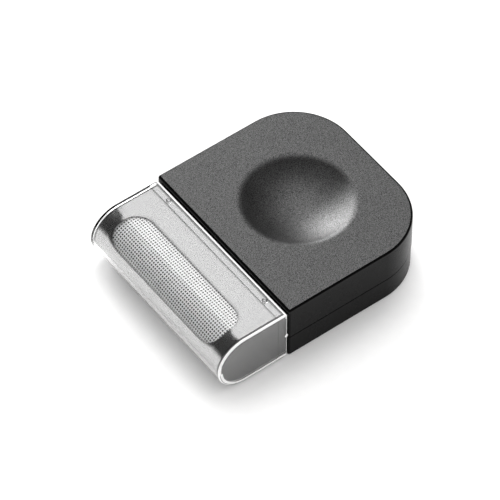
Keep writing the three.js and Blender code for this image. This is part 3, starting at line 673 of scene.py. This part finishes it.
def nose_outline(radius, rear):
    """The head's side profile as (x, z): flat above and below, half round in front."""
    points = [(rear, AXIS_Z + radius), (rear - RIM_STRIP, AXIS_Z + radius)]
    for i in range(NOSE_STEPS + 1):
        angle = math.pi * i / NOSE_STEPS
        points.append((AXIS_X - radius * math.sin(angle), AXIS_Z + radius * math.cos(angle)))
    return points + [(rear - RIM_STRIP, AXIS_Z - radius), (rear, AXIS_Z - radius)]


def nose_block(name, radius, rear, y, edge=0.0, margin=0.0, border=0.0):
    """A solid of the head's profile from y[0] to y[1]. The edges of its end faces are rounded, and a ring
    of points runs round it at the margin from each end. Its end faces can have a border."""
    profile = [(0, y[0]), (0, y[1])]
    if edge:
        arc = edge_arc(0, y[1], edge, 1)
        profile = [(inset, y[0] + y[1] - place) for inset, place in arc]
        profile += [(0, y[0] + margin), (0, y[1] - margin)] + arc[::-1]
    if border:
        profile = [(border, y[0])] + profile + [(border, y[1])]
    rings = []
    for inset, place in profile:
        rings.append([(x, place, z) for x, z in nose_outline(radius - inset, rear)])
    return loft(name, rings)


def on_nose(radius, along):
    """Point and outward normal, as (x, z) pairs, at a developed length from the nose's top, + to the rear."""
    if along >= 0:
        return (AXIS_X + along, AXIS_Z + radius), (0, 1)
    angle = -along / radius
    if angle > math.pi:
        return (AXIS_X + (angle - math.pi) * radius, AXIS_Z - radius), (0, -1)
    normal = (-math.sin(angle), math.cos(angle))
    return (AXIS_X + radius * normal[0], AXIS_Z + radius * normal[1]), normal


def sheet_point(radius, along, y, drop=0.0):
    (x, z), (nx, nz) = on_nose(radius, along)
    return (x - nx * drop, y, z - nz * drop)


def thicken(obj, thickness):
    """Gives an open sheet its thickness, inwards from its outer face."""
    modifier = obj.modifiers.new("thickness", "SOLIDIFY")
    modifier.thickness = thickness * MM
    modifier.offset = -1
    modifier.use_even_offset = True
    bake_modifiers(obj)


def face_outwards(obj):
    """Turns an open sheet's faces away from the head's axis."""
    bm = bmesh.new()
    bm.from_mesh(obj.data)
    for face in bm.faces:
        middle = face.calc_center_median() / MM
        out = Vector((min(middle.x - AXIS_X, 0), 0, middle.z - AXIS_Z))
        if face.normal.dot(out) < 0:
            face.normal_flip()
    bm.to_mesh(obj.data)
    bm.free()


# ---- head pieces ----

def rim_tool():
    """A block round the cap that rounds the outer edges of its rim."""
    rings = []
    for inset, x in [(0, CAP_LOW.x - 1)] + edge_arc(0, CAP_RIM, RIM_EDGE, 1)[::-1]:
        y, z = CAP_HALF - inset, CAP_RADIUS - inset
        rings.append([(x, a, AXIS_Z + b) for a, b in ((-y, -z), (y, -z), (y, z), (-y, z))])
    return loft("rim_tool", rings)


def pip(y, side, inner):
    """A domed clip pip inside the rim, above (side 1) or below the head."""
    root, tip = inner + BAND_DEPTH + SUPPORT, inner - PIP_DROP
    dome = [(0, AXIS_Z + side * root), (PIP_RADIUS, AXIS_Z + side * root)]
    for i in range(EDGE_STEPS + 1):
        angle = math.pi / 2 * i / EDGE_STEPS
        height = tip + (root - SUPPORT - tip) * (1 - math.sin(angle))
        dome.append((PIP_RADIUS * math.cos(angle), AXIS_Z + side * height))
    return lathe("pip", dome, (PIP_X, y), steps=32)


def make_cap():
    inner = CAP_RADIUS - CAP_WALL
    inner_half = CAP_HALF - CAP_WALL
    cap = nose_block(
        "protective_cap_moulding", CAP_RADIUS, CAP_RIM, (-CAP_HALF, CAP_HALF), CAP_EDGE, CAP_GLOW, CAP_BORDER
    )
    combine(cap, "INTERSECT", rim_tool())
    for side in (-1, 1):
        outline = [(0, side * (CAP_HALF - CAP_EDGE)), (TAB_RADIUS, side * (CAP_HALF - CAP_EDGE))]
        outline += [(TAB_RADIUS, side * CAP_HALF), (0, side * (CAP_HALF + TAB_HEIGHT))]
        join(cap, lathe("rim_tab", outline, (CAP_RIM - TAB_RADIUS / 2, AXIS_Z), "Y", 24))
    band = rounded_box(
        "band_tool",
        (BAND_FRONT, CAP_RIM + 2),
        (-inner_half - BAND_DEPTH, inner_half + BAND_DEPTH),
        (AXIS_Z - inner - BAND_DEPTH, AXIS_Z + inner + BAND_DEPTH),
        BAND_EASE,
    )
    hollow = nose_block(
        "cap_inside", inner, CAP_RIM + 2, (-inner_half, inner_half), CAP_FILLET, CAP_FILLET + SUPPORT
    )
    cut(cap, hollow, band)
    for y in (-PIP_Y, PIP_Y):
        for side in (-1, 1):
            join(cap, pip(y, side, inner))

    def rule(middle, normal):
        """Paints the places where light runs along the walls and comes out, at the rim and along the edges of
        the end walls, with a white that stands in for that light: a painted glow.
        """
        inside_wall = abs(normal.y) > END_FACE and abs(middle.y) < CAP_HALF - RIM_EDGE
        if middle.x > CAP_RIM - RIM_STRIP or abs(middle.y) > CAP_HALF + SUPPORT:
            return 0 if inside_wall else 1
        reach = math.hypot(min(middle.x - AXIS_X, 0), middle.z - AXIS_Z)
        if abs(middle.y) > CAP_HALF - SUPPORT / 2:
            return 1 if middle.z < AXIS_Z and CAP_RADIUS - CAP_BORDER < reach < CAP_RADIUS - CAP_EDGE else 0
        beside = CAP_HALF - CAP_GLOW < abs(middle.y) < CAP_HALF - CAP_EDGE_CLEAR
        return 1 if beside and middle.z > GLOW_LOW and reach > CAP_RADIUS - CAP_EDGE else 0

    finish_piece(
        cap, "cap", "protective_cap", [materials["clear"], materials["painted_edge_glow"]], rule, 35
    )


def window_loop(grow):
    """The cover's window in developed (along, y), grown by grow: straight sides and four round corners."""
    low = -COVER_RADIUS * math.radians(90 - WINDOW_LOW_ANGLE) - grow
    high = WINDOW_REAR - AXIS_X + grow
    half = WINDOW_HALF + grow
    corner = WINDOW_CORNER + grow
    corners = (
        (high - corner, half - corner, 0),
        (low + corner, half - corner, 90),
        (low + corner, -half + corner, 180),
        (high - corner, -half + corner, 270),
    )
    loop = []
    for index, (s, y, start) in enumerate(corners):
        for i in range(WINDOW_CORNER_STEPS + 1):
            angle = math.radians(start + 90 * i / WINDOW_CORNER_STEPS)
            loop.append((s + corner * math.cos(angle), y + corner * math.sin(angle)))
        following = corners[(index + 1) % 4]
        angle = math.radians(start + 90)
        first = loop[-1]
        last = (following[0] + corner * math.cos(angle), following[1] + corner * math.sin(angle))
        steps = WINDOW_END_STEPS if index % 2 == 0 else WINDOW_SIDE_STEPS
        for i in range(1, steps):
            t = i / steps
            loop.append((first[0] + (last[0] - first[0]) * t, first[1] + (last[1] - first[1]) * t))
    return loop


def sheet_border(loop):
    """Where each point of the window's loop meets the cover's straight border, in developed (along, y)."""
    high = HEAD_REAR - AXIS_X
    low = -math.pi * COVER_RADIUS - high
    window_low = -COVER_RADIUS * math.radians(90 - WINDOW_LOW_ANGLE)
    window_high = WINDOW_REAR - AXIS_X
    border = []
    for s, y in loop:
        u = 2 * (s - window_low) / (window_high - window_low) - 1
        v = y / WINDOW_HALF
        bow = max(abs(u), abs(v))
        u, v = u / bow, v / bow
        border.append((low + (high - low) * (u + 1) / 2, v * COVER_HALF))
    return border


def make_cover():
    """The formed sheet: rings run from the turned-in window lip out to the sheet's straight border."""
    rings = []
    for i in range(LIP_STEPS + 1):
        t = i / LIP_STEPS
        grow = LIP_WIDTH * t
        drop = LIP_DROP * (1 - t) ** 2
        rings.append([sheet_point(COVER_RADIUS, s, y, drop) for s, y in window_loop(grow)])
    flat = window_loop(LIP_WIDTH)
    border = sheet_border(window_loop(0))
    for i in range(1, SHEET_STEPS + 1):
        t = i / SHEET_STEPS
        rings.append([
            sheet_point(COVER_RADIUS, s + (s2 - s) * t, y + (y2 - y) * t)
            for (s, y), (s2, y2) in zip(flat, border)
        ])
    cover = loft("foil_cover_sheet", rings, capped=False)
    face_outwards(cover)
    thicken(cover, COVER_THICKNESS)
    finish_piece(cover, "head", "foil_cover", [materials["polished_sheet"]], angle=40)


def make_foil():
    """The perforated foil: a curved sheet with rows of square holes."""
    low = -FOIL_RADIUS * math.radians(90 - FOIL_LOW_ANGLE)
    high = FOIL_REAR - AXIS_X
    window_middle = (WINDOW_REAR - AXIS_X - COVER_RADIUS * math.radians(90 - WINDOW_LOW_ANGLE)) / 2

    def edges(count, middle, first, last):
        lines = [first]
        for i in range(count):
            centre = middle + (i - (count - 1) / 2) * HOLE_PITCH
            lines += [centre - HOLE_SIDE / 2, centre + HOLE_SIDE / 2]
        return lines + [last]

    rows = edges(HOLE_ROWS, window_middle, low, high)
    columns = edges(HOLE_COLUMNS, 0, -FOIL_HALF, FOIL_HALF)
    points = [sheet_point(FOIL_RADIUS, s, y) for s in rows for y in columns]
    faces = []
    width = len(columns)
    for i in range(len(rows) - 1):
        for j in range(width - 1):
            if i % 2 == 1 and j % 2 == 1:
                continue
            corner = i * width + j
            faces.append((corner, corner + 1, corner + width + 1, corner + width))
    foil = make_object("shaver_foil_sheet", points, faces)
    face_outwards(foil)
    thicken(foil, FOIL_THICKNESS)
    finish_piece(foil, "head", "shaver_foil", [materials["foil"]], angle=40)


def make_cheek(side, node):
    """An end cheek: a rim that borders the sheet, a plug inside it and a ledge under the foil."""
    def span(inner, outer):
        return (inner, outer) if side > 0 else (-outer, -inner)

    rim_inner = CHEEK_FACE - CHEEK_RIM
    cheek = nose_block(
        node + "_moulding", COVER_RADIUS, HEAD_REAR, span(rim_inner, CHEEK_FACE), CHEEK_EDGE, CHEEK_MARGIN
    )
    plug_radius = COVER_RADIUS - COVER_THICKNESS - GAP
    plug = nose_block("plug", plug_radius, HEAD_REAR, span(CHEEK_INNER, rim_inner + 0.1))
    ledge = nose_block("ledge", LEDGE_OUTER, LEDGE_REAR, span(LEDGE_Y, CHEEK_INNER + 0.1))
    cut(ledge, nose_block("ledge_inside", LEDGE_INNER, LEDGE_REAR + 2, span(LEDGE_Y - 1, CHEEK_INNER + 1)))
    join(cheek, plug, ledge)
    face = span(CHEEK_FACE - STEP_DEPTH, CHEEK_FACE + 1)
    cut(cheek, rounded_box("step", (STEP_X, 0), face, (0, 30)))
    dot = [(0, face[0]), (GATE_RADIUS, face[0]), (GATE_RADIUS, face[1]), (0, face[1])]
    cut(cheek, lathe("gate_mark", dot, GATE_MARK, "Y", 20))
    finish_piece(cheek, "head", node, [materials["cheek"]])


# ---- drum ----

def twisted(name, section):
    """A section in (x, z) about the drum's axis, drawn out along it with the drum's twist."""
    places = [-DRUM_HALF + 2 * DRUM_HALF * i / DRUM_STEPS for i in range(DRUM_STEPS + 1)]
    rings = []
    for place in places:
        turn = DRUM_TWIST * place / (2 * DRUM_HALF)
        c, s = math.cos(turn), math.sin(turn)
        rings.append([(AXIS_X + x * c - z * s, place, AXIS_Z + x * s + z * c) for x, z in section])
    return loft(name, rings)


def turned(points, angle):
    c, s = math.cos(angle), math.sin(angle)
    return [(x * c - z * s, x * s + z * c) for x, z in points]


def make_drum():
    section = []
    pitch = 2 * math.pi / BLADES
    half = SLOT_WIDTH / 2
    edge = math.asin(half / DRUM_CORE)
    for i in range(BLADES):
        section += turned([(SLOT_FLOOR, -half), (SLOT_FLOOR, half)], i * pitch)
        for step in range(CORE_ARC_STEPS + 1):
            angle = i * pitch + edge + (pitch - 2 * edge) * step / CORE_ARC_STEPS
            section.append((DRUM_CORE * math.cos(angle), DRUM_CORE * math.sin(angle)))
    core = twisted("drum_core_moulding", section)
    finish_piece(core, "drum", "drum_core", [materials["frame_plastic"]])
    thick = BLADE_THICKNESS / 2
    profile = [
        (BLADE_INNER, -thick), (BLADE_OUTER - BLADE_BEVEL, -thick), (BLADE_OUTER, -thick * 0.2),
        (BLADE_OUTER, thick * 0.6), (BLADE_OUTER - BLADE_FLANK, thick), (BLADE_INNER, thick),
    ]
    for i in range(BLADES):
        blade = twisted(f"drum_blade_{i + 1}_ground", turned(profile, i * pitch))
        finish_piece(blade, "drum", f"drum_blade_{i + 1}", [materials["blade_steel"]], angle=20)


# ---- cells and springs ----

def make_cell(node):
    """A dry cell: a wrapped can with rolled shoulders, and a raised button at one end."""
    low, high = cad(node)
    radius = (high.x - low.x) / 2
    facing = 1 if node == "battery_cell_1" else -1
    button, base = (high.y, low.y) if facing > 0 else (low.y, high.y)
    shoulder = button - facing * CELL_BUTTON_HEIGHT
    dish = base + facing * CELL_BASE_DISH
    profile = [(0, dish), (CELL_BASE[0], dish), (CELL_BASE[1], base)]
    profile += [(radius - inset, base + facing * rise) for inset, rise in SHOULDER]
    profile += [(radius - inset, shoulder - facing * rise) for inset, rise in SHOULDER[::-1]]
    ring = shoulder - facing * CELL_RING_DEPTH
    profile += [(CELL_RING[0], shoulder), (CELL_RING[1], ring), (CELL_RING[2], ring), (CELL_BUTTON, shoulder)]
    profile += [(CELL_BUTTON, button - facing * CELL_BUTTON_EDGE), (CELL_BUTTON_TOP, button), (0, button)]
    centre = ((low.x + high.x) / 2, (low.z + high.z) / 2)
    cell = lathe(node + "_wrapped", profile, centre, "Y", 64)

    def rule(middle, _):
        return 1 if math.hypot(middle.x - centre[0], middle.z - centre[1]) < radius - CELL_END_FACE else 0

    jacket = [materials["cell_jacket"], materials["screw_steel"]]
    finish_piece(cell, "casing", node, jacket, rule)


def tube(name, path, radius, sides=12):
    """A round tube along a list of points."""
    rings = []
    side = Vector((0, 0, 1))
    for i, point in enumerate(path):
        ahead = path[min(i + 1, len(path) - 1)] - path[max(i - 1, 0)]
        ahead.normalize()
        side = (side - ahead * side.dot(ahead)).normalized()
        other = ahead.cross(side)
        ring = []
        for k in range(sides):
            angle = 2 * math.pi * k / sides
            ring.append(tuple(point + radius * (side * math.cos(angle) + other * math.sin(angle))))
        rings.append(ring)
    return loft(name, rings)


def make_spring(node, side):
    """A conical contact spring, widest at the wall."""
    low, high = cad(node)
    x, z = (low.x + high.x) / 2, (low.z + high.z) / 2
    near, far = low.y + SPRING_WIRE, high.y - SPRING_WIRE
    wall, tip = (far, near) if side > 0 else (near, far)
    path = []
    steps = SPRING_TURNS * SPRING_STEPS
    for i in range(steps + 1):
        t = i / steps
        angle = SPRING_TURNS * 2 * math.pi * t
        radius = SPRING_RADIUS - SPRING_TAPER * t
        y = wall + (tip - wall) * t
        path.append(Vector((x + radius * math.cos(angle), y, z + radius * math.sin(angle))))
    spring = tube(node + "_coil", path, SPRING_WIRE)
    finish_piece(spring, "casing", node, [materials["blade_steel"]])


# ---- materials ----

def add_node(tree, kind, values=None, links=None, **settings):
    """Adds a node, sets its properties and sockets, and links its inputs to other nodes' outputs."""
    node = tree.nodes.new(kind)
    for key, value in settings.items():
        setattr(node, key, value)
    for socket, value in (values or {}).items():
        node.inputs[socket].default_value = value
    for socket, source in (links or {}).items():
        tree.links.new(source, node.inputs[socket])
    return node


def noise(tree, coordinates, size, detail=2.0, stretch=(1, 1, 1)):
    """Noise whose features are about size millimetres, drawn out by stretch."""
    scale = [1 / s for s in stretch]
    mapping = add_node(tree, "ShaderNodeMapping", {"Scale": scale}, {"Vector": coordinates})
    values = {"Scale": 1 / (size * MM), "Detail": detail, "Roughness": NOISE_ROUGHNESS}
    return add_node(tree, "ShaderNodeTexNoise", values, {"Vector": mapping.outputs[0]}).outputs["Fac"]


def spread(tree, source, low, high, start=0.3, end=0.7):
    """Maps noise between start and end onto low to high."""
    values = {"From Min": start, "From Max": end, "To Min": low, "To Max": high}
    return add_node(tree, "ShaderNodeMapRange", values, {"Value": source}).outputs["Result"]


def surface(
    name, dark, light, rough, size, bump, blotch=9.0, stretch=(1, 1, 1), detail=2.0, glint=None, **fixed
):
    """A Principled material. Its colour runs from dark to light and its bumps, in millimetres, follow fine
    noise of the given size, as does its shine between the two glint values; its roughness wanders with
    larger blotches."""
    material = bpy.data.materials.new(name)
    material.use_nodes = True
    tree = material.node_tree
    shader = tree.nodes["Principled BSDF"]
    coordinates = add_node(tree, "ShaderNodeTexCoord").outputs["Object"]
    fine = noise(tree, coordinates, size, detail, stretch)
    coarse = noise(tree, coordinates, blotch, BLOTCH_DETAIL)
    mixed = add_node(
        tree, "ShaderNodeMath", {1: BLOTCH_SHARE}, {0: coarse, 2: fine}, operation="MULTIPLY_ADD"
    ).outputs[0]
    ramp = add_node(tree, "ShaderNodeValToRGB", None, {"Fac": spread(tree, mixed, 0, 1, *COLOUR_RANGE)})
    ramp.color_ramp.elements[0].color = (*dark, 1)
    ramp.color_ramp.elements[1].color = (*light, 1)
    tree.links.new(ramp.outputs["Color"], shader.inputs["Base Color"])
    tree.links.new(spread(tree, coarse, *rough), shader.inputs["Roughness"])
    if glint:
        tree.links.new(spread(tree, fine, *glint), shader.inputs["Specular IOR Level"])
    if bump:
        height = add_node(tree, "ShaderNodeBump", {"Distance": bump * MM, "Strength": 1.0}, {"Height": fine})
        tree.links.new(height.outputs[0], shader.inputs["Normal"])
    for socket, value in fixed.items():
        shader.inputs[socket.replace("_", " ")].default_value = value
    return material


def let_light_through(material):
    """Lets lamp light pass straight through a clear material to what is behind it."""
    tree = material.node_tree
    shader = tree.nodes["Principled BSDF"]
    lamp = add_node(tree, "ShaderNodeLightPath").outputs["Is Shadow Ray"]
    through = add_node(tree, "ShaderNodeBsdfTransparent", {"Color": (*grey(SHADOW_TINT), 1)}).outputs[0]
    mix = add_node(tree, "ShaderNodeMixShader", None, {0: lamp, 1: shader.outputs[0], 2: through})
    tree.links.new(mix.outputs[0], tree.nodes["Material Output"].inputs["Surface"])
    return material


def grey(value):
    return (value, value, value)


materials = {
    "grain": surface(
        "grained_top", grey(0.0), grey(0.02), (0.34, 0.42), 0.26, 0.05, blotch=14, detail=3,
        glint=(0.1, 1.2, 0.34, 0.66),
        IOR=1.85,
    ),
    "polish": surface(
        "polished_edge", grey(0.001), grey(0.003), (0.08, 0.16), 0.6, 0.0, Specular_IOR_Level=0.15
    ),
    "satin": surface(
        "satin_plastic", grey(0.001), grey(0.004), (0.22, 0.32), 0.25, 0.006, Specular_IOR_Level=0.07
    ),
    "clear": let_light_through(surface(
        "clear_plastic", grey(0.97), grey(1.0), (0.0, 0.05), 0.8, 0.0, blotch=6,
        Transmission_Weight=1.0, IOR=1.49,
    )),
    # Painted glow: a nearly opaque white on the cap's edges that stands in for light piped along the clear
    # walls.
    "painted_edge_glow": let_light_through(surface(
        "painted_edge_glow", grey(0.96), grey(1.0), (0.25, 0.4), 0.5, 0.004, Transmission_Weight=0.15, IOR=1.49
    )),
    "polished_sheet": surface(
        "polished_sheet", grey(0.43), grey(0.46), (0.17, 0.22), 0.5, 0.0002, Metallic=1.0, stretch=(1, 8, 1)
    ),
    "foil": surface("foil", grey(0.96), grey(1.0), (0.25, 0.32), 0.3, 0.001, Specular_IOR_Level=1.0),
    "cheek": surface("cheek_plastic", grey(0.06), grey(0.1), (0.4, 0.5), 0.3, 0.008, stretch=(5, 1, 1)),
    "frame_plastic": surface("frame_plastic", grey(0.01), grey(0.02), (0.35, 0.5), 0.3, 0.01),
    "screw_steel": surface("plated_steel", grey(0.5), grey(0.62), (0.22, 0.36), 0.4, 0.003, Metallic=1.0),
    "blade_steel": surface(
        "ground_steel", grey(0.5), grey(0.66), (0.18, 0.3), 0.15, 0.004, Metallic=1.0, stretch=(1, 12, 1)
    ),
    "brass": surface("brass", (0.55, 0.38, 0.14), (0.68, 0.48, 0.2), (0.22, 0.4), 0.4, 0.003, Metallic=1.0),
    "white_plastic": surface(
        "white_plastic", (0.66, 0.65, 0.6), (0.74, 0.73, 0.69), (0.35, 0.5), 0.3, 0.006
    ),
    "cell_jacket": surface(
        "cell_jacket", (0.02, 0.05, 0.09), (0.03, 0.075, 0.13), (0.25, 0.4), 1.5, 0.004, Metallic=0.6
    ),
    "wire_black": surface("wire_black", grey(0.012), grey(0.02), (0.4, 0.55), 0.5, 0.01),
    "wire_red": surface("wire_red", (0.35, 0.012, 0.01), (0.45, 0.02, 0.015), (0.4, 0.55), 0.5, 0.01),
    "wire_white": surface("wire_white", grey(0.62), grey(0.7), (0.4, 0.55), 0.5, 0.01),
}


def dress(material, *nodes):
    """Gives CAD nodes that stay as they are their finished material."""
    for node in nodes:
        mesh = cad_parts[node].data
        mesh.materials.clear()
        mesh.materials.append(materials[material])


# ---- the whole object ----

make_upper_shell()
make_lower_shell()
make_battery_door()
make_switch_knob()
for case_screw in CASE_SCREWS:
    make_screw(case_screw, *CASE_SCREW)
for frame_screw in FRAME_SCREWS:
    make_screw(frame_screw, *FRAME_SCREW)
make_cap()
make_cover()
make_foil()
make_cheek(-1, "head_cheek_near")
make_cheek(1, "head_cheek_far")
make_drum()
make_cell("battery_cell_1")
make_cell("battery_cell_2")
make_spring("contact_spring_1", -1)
make_spring("contact_spring_2", 1)
dress("frame_plastic", "cutter_frame", "switch_body")
dress("brass", "drum_bush_near", "drum_bush_far", "motor_pinion", "motor_terminal_1", "motor_terminal_2")
dress("white_plastic", "drum_gear", "idler_gear_1", "idler_gear_2", "motor_end_cap")
dress("screw_steel", "idler_pin_1", "idler_pin_2", "motor_case", "motor_screw_1", "motor_screw_2")
dress("blade_steel", "drum_shaft", "motor_shaft", "contact_bridge", "contact_minus", "contact_plus")
for wire in ("wire_black", "wire_red", "wire_white"):
    dress(wire, wire)

# ---- floor, lights and camera ----

def make_floor():
    corners = [(-1, -1), (1, -1), (1, 1), (-1, 1)]
    floor = make_object("floor", [(x * FLOOR_HALF, y * FLOOR_HALF, 0) for x, y in corners], [(0, 1, 2, 3)])
    floor.data.materials.append(
        surface("floor", grey(0.92), grey(0.94), (0.8, 0.9), 4, 0.0, Specular_IOR_Level=0.1)
    )


def add_panel(name, direction, distance, size, power, seen=True):
    """A square soft light, from a direction, aimed at the object."""
    light = bpy.data.lights.new(name, "AREA")
    light.shape = "RECTANGLE"
    light.size, light.size_y = size[0] * MM, size[1] * MM
    light.energy = power
    panel = bpy.data.objects.new(name, light)
    bpy.context.scene.collection.objects.link(panel)
    away = Vector(direction).normalized()
    panel.location = away * distance * MM
    panel.rotation_mode = "QUATERNION"
    panel.rotation_quaternion = away.to_track_quat("Z", "Y")
    panel.visible_glossy = seen
    panel.visible_transmission = seen
    panel.visible_camera = False


def light_world():
    """A pale dome that lights the object evenly. Polished and clear surfaces see a pale horizon and a dim
    ceiling."""
    world = bpy.data.worlds.new("studio")
    world.use_nodes = True
    bpy.context.scene.world = world
    tree = world.node_tree
    path = add_node(tree, "ShaderNodeLightPath")
    through = path.outputs["Is Transmission Ray"]
    direction = add_node(tree, "ShaderNodeTexCoord").outputs["Generated"]
    parts = add_node(tree, "ShaderNodeSeparateXYZ", None, {0: direction})
    rearward = add_node(tree, "ShaderNodeMath", {1: 1.0}, {0: parts.outputs["X"]}, operation="ADD").outputs[0]
    tilt = spread(tree, through, BACK_TILT, CLEAR_TILT, 0, 1)
    height = add_node(
        tree, "ShaderNodeMath", None, {0: rearward, 1: tilt, 2: parts.outputs["Z"]}, operation="MULTIPLY_ADD"
    ).outputs[0]
    values = {
        "From Min": HORIZON[0], "From Max": HORIZON[1],
        "To Min": HORIZON_STRENGTH, "To Max": CEILING_STRENGTH,
    }
    room = add_node(
        tree, "ShaderNodeMapRange", values, {"Value": height}, interpolation_type="SMOOTHSTEP"
    ).outputs["Result"]
    polished = add_node(
        tree,
        "ShaderNodeMath",
        None,
        {0: path.outputs["Is Glossy Ray"], 1: through},
        operation="MAXIMUM",
    ).outputs[0]
    strength = add_node(
        tree,
        "ShaderNodeMapRange",
        {"To Min": WORLD_STRENGTH},
        {"Value": polished, "To Max": room},
    )
    tree.nodes["Background"].inputs["Color"].default_value = WORLD_TINT
    tree.links.new(strength.outputs["Result"], tree.nodes["Background"].inputs["Strength"])


def make_camera():
    camera = bpy.data.objects.new("camera", bpy.data.cameras.new("camera"))
    bpy.context.scene.collection.objects.link(camera)
    camera.data.lens = LENS
    camera.data.clip_start = CLIP_START
    back = Vector((
        math.sin(CAMERA_AZIMUTH) * math.cos(CAMERA_ELEVATION),
        -math.cos(CAMERA_AZIMUTH) * math.cos(CAMERA_ELEVATION),
        math.sin(CAMERA_ELEVATION),
    ))
    camera.location = (CAMERA_TARGET + back * CAMERA_DISTANCE) * MM
    camera.rotation_mode = "QUATERNION"
    camera.rotation_quaternion = back.to_track_quat("Z", "Y")
    bpy.context.scene.camera = camera


make_floor()
light_world()
add_panel("back_softbox", (0.17, 0.92, 0.36), 900, (620, 380), 5.6)
add_panel("top_softbox", (0.32, 0.39, 0.86), 900, (420, 640), 1.2)
add_panel("fill", (0.5, 0.4, 1), 1200, (900, 900), 6, seen=False)
make_camera()
bpy.context.scene.view_settings.view_transform = "Standard"
